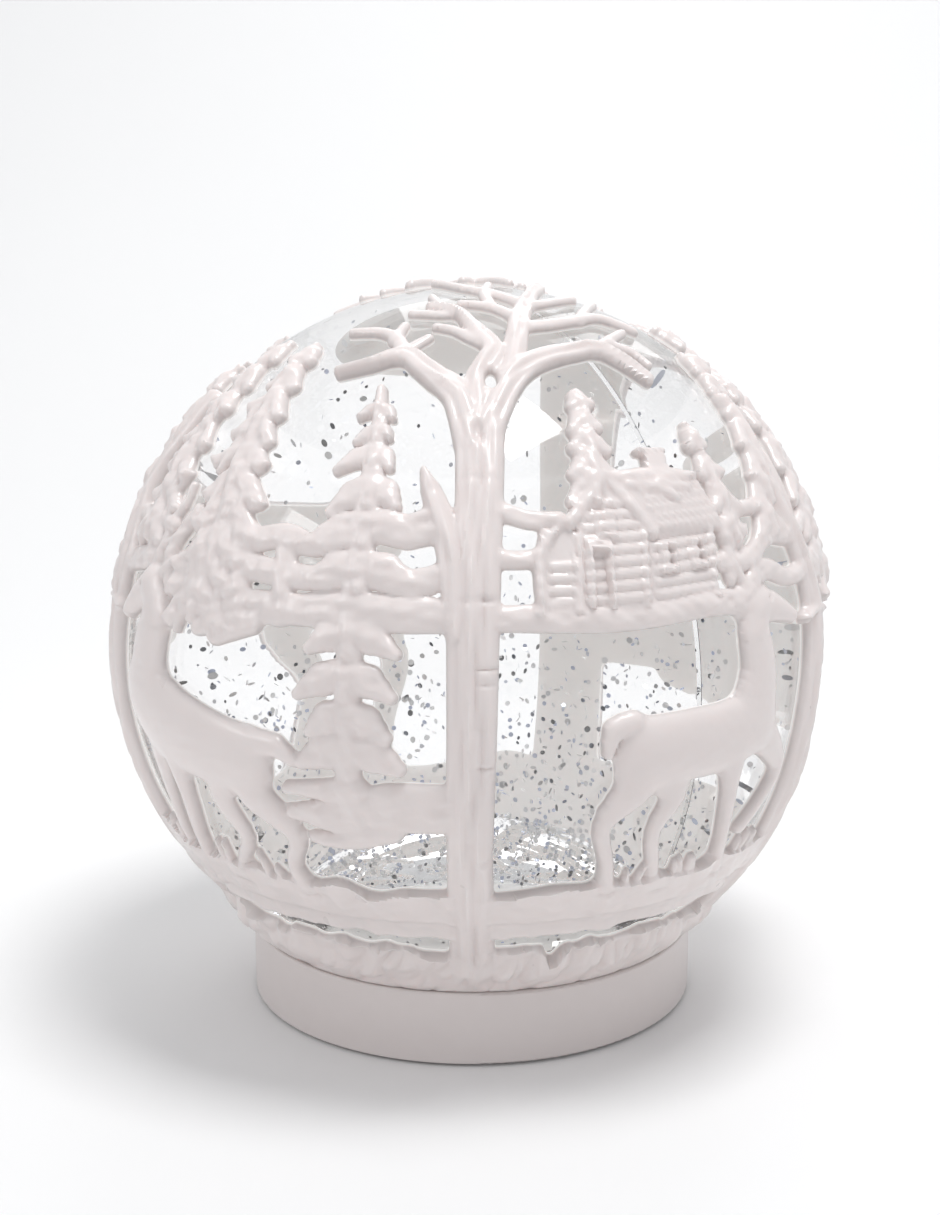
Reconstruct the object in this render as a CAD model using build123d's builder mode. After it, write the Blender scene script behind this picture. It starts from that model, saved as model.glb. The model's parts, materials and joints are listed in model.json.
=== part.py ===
from build123d import *
import os
from math import cos, radians, sin, sqrt

# Water-filled snow globe on a low round battery base, wrapped in an openwork winter wood.
# Millimetres, +Z up, origin at the centre of the face it stands on, the main bare tree at -Y.

os.makedirs("parts", exist_ok=True)

# --- driving dimensions -------------------------------------------------------------------
GLOBE_R = 75.0  # outside of the clear globe
GLOBE_Z = 80.5  # height of its centre
GLOBE_WALL = 2.2
WELD_TURN = 36.0  # the weld plane's turn about Z
RIM_Z = 25.0  # the globe is cut off here and sits on its seal
REAR_TURN = 169.0  # the rear bare tree's turn from the front one
SKIN_GAP = 0.15  # between globe and overlay
SKIN = 2.4  # thickness of boughs, animals and cabin
TRUNK_PROUD = 3.9  # how far the trunks stand out from the globe
FLOOR_TOP = 26.0
FLANGE_R = 48.6
BASE_R = 48.8
BASE_TOP = 16.3
BASE_BOTTOM = 0.6
BASE_WALL = 2.0
NECK_R = 42.0  # neck of the base, a spigot inside the floor's skirt
COVER_TOP = 2.4  # top of the bottom cover
CELL_R = 7.25
CELL_LENGTH = 50.5
CELL_PITCH = 15.0
CELL_Z = 9.9
TRAY = (48.4, 59.0, 15.4)  # outside of the battery tray
TRAY_WALL = 1.4
MOTOR_R = 10.0
MOTOR_Z = (19.9, 26.9)
POCKET_TOP = 29.0  # ceiling of the dry motor pocket in the floor
BOSS_TOP = 30.2
DOME_R = 32.0
DOME_TOP = 49.0
DOME_WALL = 1.4
DOME_FOOT = 2.0  # upright rim under the dome's curve
DOME_RISE = DOME_TOP - FLOOR_TOP - DOME_FOOT
PIN_TOP = 34.0
BOARD_Z = (20.0, 21.0)
BOARD_R = (20.0, 31.0)
LUG_R = 36.5  # circle of the screws that hold the floor to the base
COVER_SCREW_R = 41.0  # circle of the cover's screws and of the feet
PIN_R = 0.9  # the impeller's pin
SHAFT_R = 0.75
MAGNET_R = 2.2
MAGNET_DEEP = 0.9
FOOT_R = 4.0
SCREW_HOLE_R = 1.15  # pilot hole of the cover's screws
SWITCH_X = 34.5
SWITCH_TRAVEL = 3.0


def save(part, name):
    """Label one finished piece and write its STEP file."""
    part.label = name
    export_step(part, f"parts/{name}.step")


def band(r_in, r_out, z_low, z_high):
    """A plain ring about the Z axis, added to the open part."""
    with BuildSketch(Plane.XY.offset(z_low)) as ring:
        Circle(r_out)
        if r_in > 0:
            Circle(r_in, mode=Mode.SUBTRACT)
    extrude(ring.sketch, amount=z_high - z_low)


def cut_round(r, z_low, z_high, *places):
    """Round holes along Z, cut from the open part at the (x, y) places."""
    with BuildSketch(Plane.XY.offset(z_low)) as holes:
        with Locations(*places):
            Circle(r)
    extrude(holes.sketch, amount=z_high - z_low, mode=Mode.SUBTRACT)


def posts(r, z_low, z_high, *places):
    """Round posts along Z, added to the open part at the (x, y) places."""
    with BuildSketch(Plane.XY.offset(z_low)) as rounds:
        with Locations(*places):
            Circle(r)
    extrude(rounds.sketch, amount=z_high - z_low)


def ring_places(radius, count, start):
    """Centres of count places spread evenly on a circle, from the start angle."""
    step = 360.0 / count
    turns = [radians(start + step * k) for k in range(count)]
    return [(radius * cos(t), radius * sin(t)) for t in turns]


LUGS = ring_places(LUG_R, 4, 0.0)
COVER_SCREWS = ring_places(COVER_SCREW_R, 4, 67.5)
FEET = ring_places(COVER_SCREW_R, 4, 22.5)
BRACKET_SCREWS = ring_places(16.0, 3, 90.0)
BOARD_POSTS = ring_places(25.5, 3, 0.0)
LAMPS = ring_places(25.5, 4, 45.0)
FILL_HOLE = (26.5, 26.5)


# --- the overlay: a winter wood on the globe ------------------------------------------------
# Places on the globe are (turn, height) in degrees: the turn from the front tree, positive to
# the right, and the height above the globe's equator.

def on_globe(turn, height, radius=GLOBE_R):
    """The point of the globe at a turn and height."""
    a, b = radians(turn), radians(height)
    return Vector(
        radius * cos(b) * sin(a),
        -radius * cos(b) * cos(a),
        GLOBE_Z + radius * sin(b),
    )


def facing(turn, height):
    """The plane that touches the globe there, its X to the right and its Y uphill."""
    a = radians(turn)
    centre = Vector(0, 0, GLOBE_Z)
    point = on_globe(turn, height)
    return Plane(origin=point, x_dir=(cos(a), sin(a), 0), z_dir=point - centre)


def flat_points(plane, places):
    """The places as points of the plane, looking straight at it."""
    return [tuple(plane.to_local_coords(on_globe(*p)))[:2] for p in places]


STAMP_DEPTH = (12.0, 8.0)  # how far a block reaches inside and outside the globe
WOOD_BITS = []  # one straight-sided block for each panel and each run of a bough


def stamp(plane, sketch):
    """Keep one flat shape as a block that passes through the skin."""
    inside, outside = STAMP_DEPTH
    flat = sketch.moved(Location(plane.z_dir * -inside))
    WOOD_BITS.append(extrude(flat, amount=inside + outside, dir=plane.z_dir, mode=Mode.PRIVATE))


def panel(places):
    """A flat outline of (turn, height) corners, pressed onto the globe."""
    turn = (min(p[0] for p in places) + max(p[0] for p in places)) / 2
    height = (min(p[1] for p in places) + max(p[1] for p in places)) / 2
    plane = facing(turn, height)
    with BuildSketch(plane) as shape:
        Polygon(*flat_points(plane, places), align=None)
    stamp(plane, shape.sketch)


def bough(places, thick, thin):
    """A tapering bough along (turn, height) places, thick and thin in millimetres."""
    count = len(places)
    for k in range(count - 1):
        a, b = places[k], places[k + 1]
        plane = facing((a[0] + b[0]) / 2, (a[1] + b[1]) / 2)
        start, end = flat_points(plane, [a, b])
        r_a = (thick + (thin - thick) * k / (count - 1)) / 2
        r_b = (thick + (thin - thick) * (k + 1) / (count - 1)) / 2
        run = Vector(*end) - Vector(*start)
        side = Vector(-run.Y, run.X).normalized()
        corners = [
            Vector(*start) + side * r_a,
            Vector(*end) + side * r_b,
            Vector(*end) - side * r_b,
            Vector(*start) - side * r_a,
        ]
        with BuildSketch(plane) as shape:
            Polygon(*[(c.X, c.Y) for c in corners], align=None)
            with Locations(start):
                Circle(r_a)
            with Locations(end):
                Circle(r_b)
        stamp(plane, shape.sketch)


def pine(tip, foot, half_turn, tiers):
    """A snow-laden pine: tiers of boughs that widen from the tip to the foot."""
    left, right = [], []
    for k in range(tiers):
        low = (k + 1) / tiers
        turn = tip[0] + (foot[0] - tip[0]) * low
        height = tip[1] + (foot[1] - tip[1]) * low
        reach = half_turn * (0.35 + 0.65 * low)
        left += [(turn - reach, height), (turn - reach * 0.55, height + 0.6)]
        right += [(turn + reach, height), (turn + reach * 0.55, height + 0.6)]
    panel([tip, *left[:-1], *reversed(right[:-1])])


def bare_tree(turn):
    """The crown of the tall bare tree whose trunk stands at the turn."""
    limbs = [
        ([(-1, 44), (-7, 53), (-13, 56), (-19, 58), (-34, 53.5)], 7.0, 3.0),
        ([(-19, 58), (-26, 65.5)], 4.0, 2.6),
        ([(-34, 53.5), (-44, 60), (-52, 58)], 3.4, 2.6),
        ([(2, 44), (7, 57), (3, 64), (-5, 67), (-27, 70)], 7.0, 3.0),
        ([(3, 44), (9, 53), (20, 57), (39, 58.6), (47, 51)], 7.0, 3.2),
        ([(39, 58.6), (57, 62), (66, 54)], 4.0, 3.0),
        ([(9, 53), (18, 67), (33, 76), (50, 81)], 5.5, 3.6),
        ([(18, 67), (43, 66.6), (64, 64)], 4.2, 3.0),
        ([(18, 68), (-2, 75), (-40, 81)], 4.0, 3.6),
        ([(-8, 36.5), (-5, 31), (-2, 22)], 3.6, 6.0),
    ]
    for places, thick, thin in limbs:
        bough([(turn + t, h) for t, h in places], thick, thin)


def deer(turn, height, way, raised):
    """A standing deer seen from the side; way is +1 facing right, -1 facing left."""
    body = [(-19, -2), (-14, 3), (-5, 3), (5, 3), (9, 7), (11, 15), (16, 19), (24, 14), (18, 11)]
    body += [(17, 2), (16, -5), (10, -9), (0, -9), (-9, -8), (-17, -7)]
    panel([(turn + way * t, height + h) for t, h in body])
    legs = [
        [(-14, -4), (-17, -14), (-15, -31)],
        [(-10, -6), (-10, -17), (-7, -31)],
        [(12, -6), (11, -17), (10, -31)],
        [(14, -4), (17, -12), (14, -24)] if raised else [(14, -4), (15, -15), (16, -31)],
    ]
    for leg in legs:
        bough([(turn + way * t, height + h) for t, h in leg], 6.0, 3.4)


def cabin(turn):
    """The log cabin on its snow bank."""
    panel([(turn + t, h) for t, h in [(-17, 28), (-8, 35), (0, 28), (0, 15), (-17, 15)]])
    panel([(turn + t, h) for t, h in [(-7, 35), (12, 34), (16, 26), (12, 15), (0, 15), (0, 28)]])
    panel([(turn + t, h) for t, h in [(2, 39), (6, 39), (6, 33), (2, 33)]])


def wood_side(turn):
    """Everything between the front and the rear tree, from the front tree's turn on."""
    bare_tree(turn)
    pine((turn - 20.5, 51), (turn - 18.5, 26), 11, 5)
    pine((turn - 18, 30), (turn - 18, -10), 10, 5)
    pine((turn - 50, 58), (turn - 45, 17), 11, 5)
    pine((turn - 66, 52), (turn - 72, 17), 10, 5)
    pine((turn + 23, 50), (turn + 21, 32), 6, 3)
    pine((turn + 46, 42), (turn + 46, 24), 5, 4)
    pine((turn + 62, 56), (turn + 55, 16), 9, 5)
    pine((turn + 80, 52), (turn + 76, 16), 10, 5)
    bough([(turn - 2, 14.5), (turn - 20, 14.5), (turn - 40, 15.5), (turn - 60, 18)], 6.0, 5.0)
    bough([(turn - 58, 18), (turn - 72, 17), (turn - 88, 16), (turn - 104, 16)], 6.0, 6.0)
    bough([(turn + 2, 15), (turn + 22, 14.5), (turn + 45, 14.5), (turn + 66, 16)], 5.5, 5.0)
    bough([(turn + 64, 16), (turn + 92, 16)], 6.0, 6.0)
    bough([(turn - 2, -13), (turn - 12, -13), (turn - 26, -16)], 11.0, 6.0)
    cabin(turn + 28)
    deer(turn - 48, -1.5, -1, False)
    deer(turn + 38, -2, 1, True)
    bough([(turn - 62, 18), (turn - 66, 32), (turn - 60, 44)], 4.0, 3.0)


def trunks():
    """Places of the trunks, each from collar to crown."""
    upright = [(0, -56), (0, 0), (0.5, 30), (1, 46)]
    places = [[(turn + t, h) for t, h in upright] for turn in (0, REAR_TURN)]
    for turn in (66, -76, 246, 104):
        places.append([(turn, -56), (turn - 1, 0), (turn + 1, 30), (turn - 3, 50)])
    return places


def round_skin(proud):
    """The space between the globe and a larger ball, above the base."""
    with BuildPart() as skin:
        with Locations((0, 0, GLOBE_Z)):
            Sphere(GLOBE_R + proud)
            Sphere(GLOBE_R + SKIN_GAP, mode=Mode.SUBTRACT)
    return skin.part


wood_side(0)
wood_side(REAR_TURN)
bough([(turn, 81) for turn in range(0, 361, 45)], 3.8, 3.8)
with BuildPart() as relief:
    add(WOOD_BITS)
    add(round_skin(SKIN), mode=Mode.INTERSECT)

WOOD_BITS.clear()
for route in trunks():
    bough(route, 9.6, 9.0)
with BuildPart() as trunk_relief:
    add(WOOD_BITS)
    add(round_skin(TRUNK_PROUD), mode=Mode.INTERSECT)

# Ground band and collar: rings turned about the Z axis, outside the globe's flange.
BAND_HEIGHTS = (-27.0, -38.5)
COLLAR_FOOT_R = 45.6
COLLAR_TOP_Z = 28.6
BAND_PROUD = 3.0

with BuildPart() as ground:
    outer, inner = GLOBE_R + BAND_PROUD, GLOBE_R + SKIN_GAP
    with BuildSketch(Plane.XZ) as section:
        with BuildLine():
            high, low = [radians(h) for h in BAND_HEIGHTS]
            a = (inner * cos(high), GLOBE_Z + inner * sin(high))
            b = (outer * cos(high), GLOBE_Z + outer * sin(high))
            c = (outer * cos(low), GLOBE_Z + outer * sin(low))
            d = (inner * cos(low), GLOBE_Z + inner * sin(low))
            Line(a, b)
            RadiusArc(b, c, outer)
            Line(c, d)
            RadiusArc(d, a, -inner)
        make_face()
    revolve(axis=Axis.Z)
    clear_r = FLANGE_R + 0.8
    top_r = sqrt(inner**2 - (GLOBE_Z - COLLAR_TOP_Z) ** 2)
    with BuildSketch(Plane.XZ):
        Polygon(
            (COLLAR_FOOT_R, BASE_TOP),
            (COLLAR_FOOT_R + 2.2, BASE_TOP),
            (clear_r + 2.6, BASE_TOP + 6.5),
            (top_r + 2.2, COLLAR_TOP_Z),
            (top_r, COLLAR_TOP_Z),
            (clear_r, RIM_Z - 1.2),
            (clear_r, RIM_Z - 3.2),
            align=None,
        )
    revolve(axis=Axis.Z)

with BuildPart() as wood:
    add(relief.part)
    add(trunk_relief.part)
    add(ground.part)
    with Locations((0, 0, (BASE_TOP - 50) / 2)):
        Cylinder(60, BASE_TOP + 50, mode=Mode.SUBTRACT)
    with Locations((0, 0, BASE_TOP + 3.5)):
        Cylinder(COLLAR_FOOT_R, 20, align=(Align.CENTER, Align.CENTER, Align.CENTER), mode=Mode.SUBTRACT)
    with Locations((0, 0, RIM_Z - 2.2)):
        Cylinder(clear_r, 2.0, mode=Mode.SUBTRACT)
    with Locations((0, 0, GLOBE_Z)):
        Sphere(GLOBE_R + SKIN_GAP, mode=Mode.SUBTRACT)

for side, keep in (("left", Keep.BOTTOM), ("right", Keep.TOP)):
    with BuildPart() as overlay_half:
        add(wood.part)
        split(bisect_by=Plane.YZ, keep=keep)
    moulding = overlay_half.part.solids().sort_by(SortBy.VOLUME)[-1]
    save(moulding, f"overlay_{side}")

# --- the globe and what it holds ------------------------------------------------------------
with BuildPart() as globe:
    with Locations((0, 0, GLOBE_Z)):
        Sphere(GLOBE_R)
        Sphere(GLOBE_R - GLOBE_WALL, mode=Mode.SUBTRACT)
    with Locations((0, 0, RIM_Z / 2 - 25)):
        Cylinder(90, RIM_Z + 50, mode=Mode.SUBTRACT)

WELD = Plane.XZ.rotated((0, 0, WELD_TURN + 90.0))
for name, keep in (("globe_half_front", Keep.TOP), ("globe_half_rear", Keep.BOTTOM)):
    with BuildPart() as half_shell:
        add(globe.part)
        split(bisect_by=WELD, keep=keep)
    save(half_shell.part, name)

with BuildPart() as globe_floor:
    plug_r = 45.9
    band(0, plug_r, RIM_Z - 1.0, FLOOR_TOP)
    band(plug_r - 1.5, FLANGE_R, RIM_Z - 3.0, RIM_Z - 1.0)
    band(NECK_R + 0.3, NECK_R + 2.4, BASE_TOP, RIM_Z - 1.0)
    band(0, MOTOR_R + 4.0, RIM_Z - 1.0, BOSS_TOP)
    posts(3.0, 20.4, RIM_Z - 0.5, *LUGS)
    posts(1.9, BOARD_Z[1], RIM_Z - 0.5, *BOARD_POSTS)
    posts(2.2, 20.0, RIM_Z - 0.5, *BRACKET_SCREWS)
    cut_round(MOTOR_R + 2.5, RIM_Z - 6.0, POCKET_TOP, (0, 0))
    cut_round(1.05, 20.0, RIM_Z - 1.2, *LUGS)
    cut_round(0.75, 20.0, RIM_Z - 1.2, *BOARD_POSTS)
    cut_round(0.85, 19.9, RIM_Z - 1.2, *BRACKET_SCREWS)
    cut_round(3.4, RIM_Z - 2.0, FLOOR_TOP + 1.0, FILL_HOLE)
    cut_round(PIN_R, POCKET_TOP + 0.5, BOSS_TOP + 1.0, (0, 0))
save(globe_floor.part, "globe_floor")

with BuildPart() as rim_gasket:
    band(46.3, FLANGE_R - 0.2, RIM_Z - 1.0, RIM_Z)
save(rim_gasket.part, "rim_gasket")

with BuildPart() as fill_plug:
    posts(4.4, RIM_Z - 2.6, RIM_Z - 1.05, FILL_HOLE)
    posts(3.35, RIM_Z - 2.0, FLOOR_TOP - 0.3, FILL_HOLE)
save(fill_plug.part, "fill_plug")

def dome_points(grow, last_turn):
    """Points up the dome's curve, grown outwards, from its foot to the last turn in degrees."""
    turns = [radians(last_turn * k / 8) for k in range(9)]
    foot = FLOOR_TOP + DOME_FOOT
    return [((DOME_R + grow) * cos(t), foot + (DOME_RISE + grow) * sin(t)) for t in turns]


with BuildPart() as impeller_guard:
    with BuildSketch(Plane.XZ):
        with BuildLine():
            over = Spline(*dome_points(0, 84))
            under = Spline(*dome_points(-DOME_WALL, 83))
            Line(over @ 1, under @ 1)
            Polyline(over @ 0, (DOME_R, FLOOR_TOP), (DOME_R - DOME_WALL, FLOOR_TOP), under @ 0)
        make_face()
    revolve(axis=Axis.Z)
    with BuildSketch(Plane.XY.offset(FLOOR_TOP + 0.6)):
        with PolarLocations(DOME_R, 12):
            SlotOverall(8.0, 3.0, rotation=0)
    extrude(amount=3.0, mode=Mode.SUBTRACT)
save(impeller_guard.part, "impeller_guard")

with BuildPart() as impeller_pin:
    band(0, PIN_R, POCKET_TOP + 0.5, PIN_TOP)
save(impeller_pin.part, "impeller_pin")

IMPELLER_Z = (BOSS_TOP + 0.4, BOSS_TOP + 1.7)
MAGNETS = ring_places(6.0, 4, 0.0)
with BuildPart() as impeller:
    band(0, 10.0, *IMPELLER_Z)
    band(0, 2.6, IMPELLER_Z[1], PIN_TOP - 0.4)
    with BuildSketch(Plane.XY.offset(IMPELLER_Z[1])):
        with PolarLocations(5.6, 6):
            Rectangle(8.0, 0.9)
    extrude(amount=1.5)
    cut_round(PIN_R + 0.05, IMPELLER_Z[0] - 1.0, PIN_TOP, (0, 0))
    cut_round(MAGNET_R, IMPELLER_Z[0] - 0.5, IMPELLER_Z[0] + MAGNET_DEEP, *MAGNETS)
save(impeller.part, "impeller")

with BuildPart() as impeller_magnets:
    posts(MAGNET_R, IMPELLER_Z[0], IMPELLER_Z[0] + MAGNET_DEEP, *MAGNETS)
save(impeller_magnets.part, "impeller_magnets")

with BuildPart() as liquid:
    with Locations((0, 0, GLOBE_Z)):
        Sphere(GLOBE_R - GLOBE_WALL - 0.05)
    with Locations((0, 0, FLOOR_TOP + 0.05 - 50)):
        Cylinder(90, 100, mode=Mode.SUBTRACT)
    with BuildSketch(Plane.XZ):
        with BuildLine():
            over = Spline(*dome_points(0.1, 90))
            Polyline(over @ 1, (0, FLOOR_TOP - 1), (DOME_R + 0.1, FLOOR_TOP - 1), over @ 0)
        make_face()
    revolve(axis=Axis.Z, mode=Mode.SUBTRACT)
save(liquid.part, "liquid")

# Flakes settle densely on the floor and thin out upwards, on a sunflower spiral.
FLAKE_R = 0.8
FLAKE_THICK = 0.12
FLAKE_COUNT = 70
GOLDEN = 137.508
with BuildPart() as glitter:
    for k in range(FLAKE_COUNT):
        share = (k + 0.5) / FLAKE_COUNT
        out = DOME_R + 2.0 + 10.5 * sqrt(share)
        turn = radians(GOLDEN * k)
        lift = FLOOR_TOP + 0.4 + (k % 5 == 0) * (4.0 + 9.0 * (k % 7)) + 0.5 * (k % 3)
        tilt = 24.0 * (k % 4) - 36.0
        flake = Plane(origin=(out * cos(turn), out * sin(turn), lift + FLAKE_R), z_dir=(0, 0, 1))
        with BuildSketch(flake.rotated((tilt, 15.0 * (k % 3), 0))):
            RegularPolygon(FLAKE_R, 6)
        extrude(amount=FLAKE_THICK)
save(glitter.part, "glitter")

# --- dry side of the drive ------------------------------------------------------------------
with BuildPart() as motor_can:
    band(0, MOTOR_R, *MOTOR_Z)
    chamfer(motor_can.edges().filter_by(GeomType.CIRCLE).group_by(Axis.Z)[-1], 0.6)
    cut_round(SHAFT_R + 0.05, MOTOR_Z[0] + 1.0, MOTOR_Z[1] + 1.0, (0, 0))
save(motor_can.part, "motor_can")

with BuildPart() as motor_shaft:
    band(0, SHAFT_R, MOTOR_Z[0] + 1.2, MOTOR_Z[1] + 1.6)
save(motor_shaft.part, "motor_shaft")

DISC_Z = (MOTOR_Z[1] + 0.3, MOTOR_Z[1] + 1.6)
with BuildPart() as drive_disc:
    band(SHAFT_R, 9.4, *DISC_Z)
    cut_round(MAGNET_R, DISC_Z[1] - MAGNET_DEEP, DISC_Z[1] + 1.0, *MAGNETS)
save(drive_disc.part, "drive_disc")

with BuildPart() as drive_magnets:
    posts(MAGNET_R, DISC_Z[1] - MAGNET_DEEP, DISC_Z[1], *MAGNETS)
save(drive_magnets.part, "drive_magnets")

with BuildPart() as motor_bracket:
    band(0, 19.2, MOTOR_Z[0] - 1.0, MOTOR_Z[0])
    cut_round(1.0, MOTOR_Z[0] - 2.0, MOTOR_Z[0] + 1.0, *BRACKET_SCREWS)
    cut_round(3.0, MOTOR_Z[0] - 2.0, MOTOR_Z[0] + 1.0, (0, 0))
save(motor_bracket.part, "motor_bracket")


def screws(places, head_r, head_z, shank_r, top_z, name):
    """Identical screws driven upwards, one solid each, with a cross slot in each head."""
    with BuildPart() as group:
        posts(head_r, head_z[0], head_z[1], *places)
        posts(shank_r, head_z[1], top_z, *places)
        with BuildSketch(Plane.XY.offset(head_z[0])) as cross:
            with Locations(*places):
                Rectangle(head_r * 1.3, head_r * 0.28)
                Rectangle(head_r * 0.28, head_r * 1.3)
        extrude(cross.sketch, amount=(head_z[1] - head_z[0]) * 0.5, mode=Mode.SUBTRACT)
    save(group.part, name)


screws(BRACKET_SCREWS, 1.9, (17.9, 18.9), 0.8, 23.2, "bracket_screws")
screws(BOARD_POSTS, 1.8, (19.0, 20.0), 0.7, 23.2, "board_screws")
screws(LUGS, 2.7, (17.2, 18.8), 1.0, 23.4, "floor_screws")
screws(COVER_SCREWS, 2.6, (0.7, 1.9), 1.1, 10.5, "cover_screws")

# --- light -----------------------------------------------------------------------------------
with BuildPart() as circuit_board:
    band(BOARD_R[0], BOARD_R[1], *BOARD_Z)
    cut_round(0.9, BOARD_Z[0] - 1.0, BOARD_Z[1] + 1.0, *BOARD_POSTS)
save(circuit_board.part, "circuit_board")

with BuildPart() as led_lamps:
    posts(2.4, BOARD_Z[1], BOARD_Z[1] + 0.8, *LAMPS)
    posts(1.7, BOARD_Z[1] + 0.8, BOARD_Z[1] + 2.2, *LAMPS)
save(led_lamps.part, "led_lamps")

with BuildPart() as timer_chip:
    with Locations((-25.5, 0, BOARD_Z[1] + 0.75)):
        Box(4.0, 5.0, 1.5)
save(timer_chip.part, "timer_chip")

# --- base ------------------------------------------------------------------------------------
with BuildPart() as base_shell:
    band(BASE_R - BASE_WALL, BASE_R, BASE_BOTTOM, BASE_TOP)
    band(NECK_R - BASE_WALL, BASE_R, BASE_TOP - BASE_WALL, BASE_TOP)
    band(NECK_R - BASE_WALL, NECK_R, BASE_TOP - BASE_WALL, 20.3)
    band(32.6, NECK_R, 18.8, 20.3)
    posts(3.0, COVER_TOP + 0.1, BASE_TOP - 1.0, *COVER_SCREWS)
    cut_round(SCREW_HOLE_R, COVER_TOP, 11.5, *COVER_SCREWS)
    cut_round(1.25, 18.0, 21.0, *LUGS)
    outer_edges = [e for e in base_shell.edges().filter_by(GeomType.CIRCLE) if e.radius > BASE_R - 0.01]
    fillet(outer_edges, 0.5)
save(base_shell.part, "base_shell")

DOOR_SIZE = (46.0, 54.0)
DOOR_GAP = 0.3
DOOR_Z = (0.75, 2.25)
TONGUE = (8.8, 8.4)  # the door's screw tongue
TONGUE_Y = DOOR_SIZE[1] / 2 + TONGUE[1] / 2
TONGUE_TOP = 1.5  # ceiling of the tongue's recess
HINGE_Y = -DOOR_SIZE[1] / 2 - DOOR_GAP
HOOKS_X = (-CELL_PITCH / 2, CELL_PITCH / 2)  # the door's hooks swing up between the cells
HOOK_WIDTH = 3.0
with BuildPart() as bottom_cover:
    band(0, BASE_R - BASE_WALL - 0.25, BASE_BOTTOM, COVER_TOP)
    with BuildSketch(Plane.XY.offset(BASE_BOTTOM - 1)):
        Rectangle(DOOR_SIZE[0] + 2 * DOOR_GAP, DOOR_SIZE[1] + 2 * DOOR_GAP)
        with Locations((SWITCH_X, 0)):
            SlotOverall(4.4 + 2 * SWITCH_TRAVEL + 0.8, 3.2, rotation=90)
    extrude(amount=5.0, mode=Mode.SUBTRACT)
    cut_round(1.3, BASE_BOTTOM - 1, COVER_TOP + 1, *COVER_SCREWS)
    cut_round(2.8, BASE_BOTTOM - 1, 1.95, *COVER_SCREWS)
    cut_round(FOOT_R + 0.1, BASE_BOTTOM - 1, 1.0, *FEET)
    with BuildSketch(Plane.XY.offset(COVER_TOP - 1.2)):
        with Locations((0, TONGUE_Y + 0.4)):
            Rectangle(TONGUE[0] + 1.2, TONGUE[1])
    extrude(amount=1.2)
    cut_round(1.35, BASE_BOTTOM - 1, COVER_TOP + 1, (0, TONGUE_Y))
    with BuildSketch(Plane.XY.offset(BASE_BOTTOM - 1)):
        with Locations((0, TONGUE_Y)):
            Rectangle(TONGUE[0] + 2 * DOOR_GAP, TONGUE[1] + 2 * DOOR_GAP)
    extrude(amount=TONGUE_TOP - BASE_BOTTOM + 1, mode=Mode.SUBTRACT)
save(bottom_cover.part, "bottom_cover")

with BuildPart() as rubber_feet:
    posts(FOOT_R, 0.0, 1.0, *FEET)
save(rubber_feet.part, "rubber_feet")

TRAY_Z = (COVER_TOP + 0.05, COVER_TOP + 0.05 + TRAY[2])
with BuildPart() as battery_tray:
    with BuildSketch(Plane.XY.offset(TRAY_Z[0])):
        Rectangle(TRAY[0], TRAY[1])
    extrude(amount=TRAY[2])
    with BuildSketch(Plane.XY.offset(TRAY_Z[0])):
        Rectangle(TRAY[0] - 2 * TRAY_WALL, TRAY[1] - 2 * TRAY_WALL)
    extrude(amount=TRAY[2] - 0.6, mode=Mode.SUBTRACT)
    with BuildSketch(Plane.XY.offset(TRAY_Z[0])):
        with Locations(*[(x, -TRAY[1] / 2) for x in HOOKS_X]):
            Rectangle(HOOK_WIDTH + 1.2, 6.0)
    extrude(amount=3.6, mode=Mode.SUBTRACT)
    with BuildSketch(Plane.XY.offset(TRAY_Z[1] - 8.0)):
        with Locations((-CELL_PITCH / 2, 0), (CELL_PITCH / 2, 0)):
            Rectangle(0.5, TRAY[1] - 2 * TRAY_WALL - 1.0)
    extrude(amount=8.0)
save(battery_tray.part, "battery_tray")

CELLS_X = (-CELL_PITCH, 0.0, CELL_PITCH)
with BuildPart() as battery_cells:
    for k, x in enumerate(CELLS_X):
        way = 1 if k % 2 == 0 else -1
        start = -way * (CELL_LENGTH / 2)
        cell_plane = Plane(origin=(x, start, CELL_Z), x_dir=(1, 0, 0), z_dir=(0, way, 0))
        with BuildSketch(cell_plane):
            Circle(CELL_R - 0.1)
        extrude(amount=CELL_LENGTH - 1.0)
        with BuildSketch(cell_plane.offset(CELL_LENGTH - 1.0)):
            Circle(2.6)
        extrude(amount=1.0)
save(battery_cells.part, "battery_cells")

PLATE_Y = TRAY[1] / 2 - TRAY_WALL
with BuildPart() as contact_plates:
    for way, spans in ((1, ((-15.0, 11.0), (7.5, 26.0))), (-1, ((-7.5, 26.0), (15.0, 11.0)))):
        for x, width in spans:
            with Locations((x, way * (PLATE_Y - 0.2), CELL_Z + 0.6)):
                Box(width, 0.4, 9.0)
save(contact_plates.part, "contact_plates")

with BuildPart() as contact_springs:
    room = PLATE_Y - 0.4 - CELL_LENGTH / 2
    wire = 0.3
    for k, x in enumerate(CELLS_X):
        way = -1 if k % 2 == 0 else 1
        seat = Vector(x, way * (PLATE_Y - 0.4 - wire), CELL_Z)
        with BuildLine() as coil:
            Helix(0.9, room - 2 * wire, 4.2, center=seat, direction=(0, -way, 0), cone_angle=-20)
        with BuildSketch(Plane(origin=coil.line @ 0, z_dir=coil.line % 0)):
            Circle(wire)
        sweep(path=coil.line, is_frenet=True)
save(contact_springs.part, "contact_springs")

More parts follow.
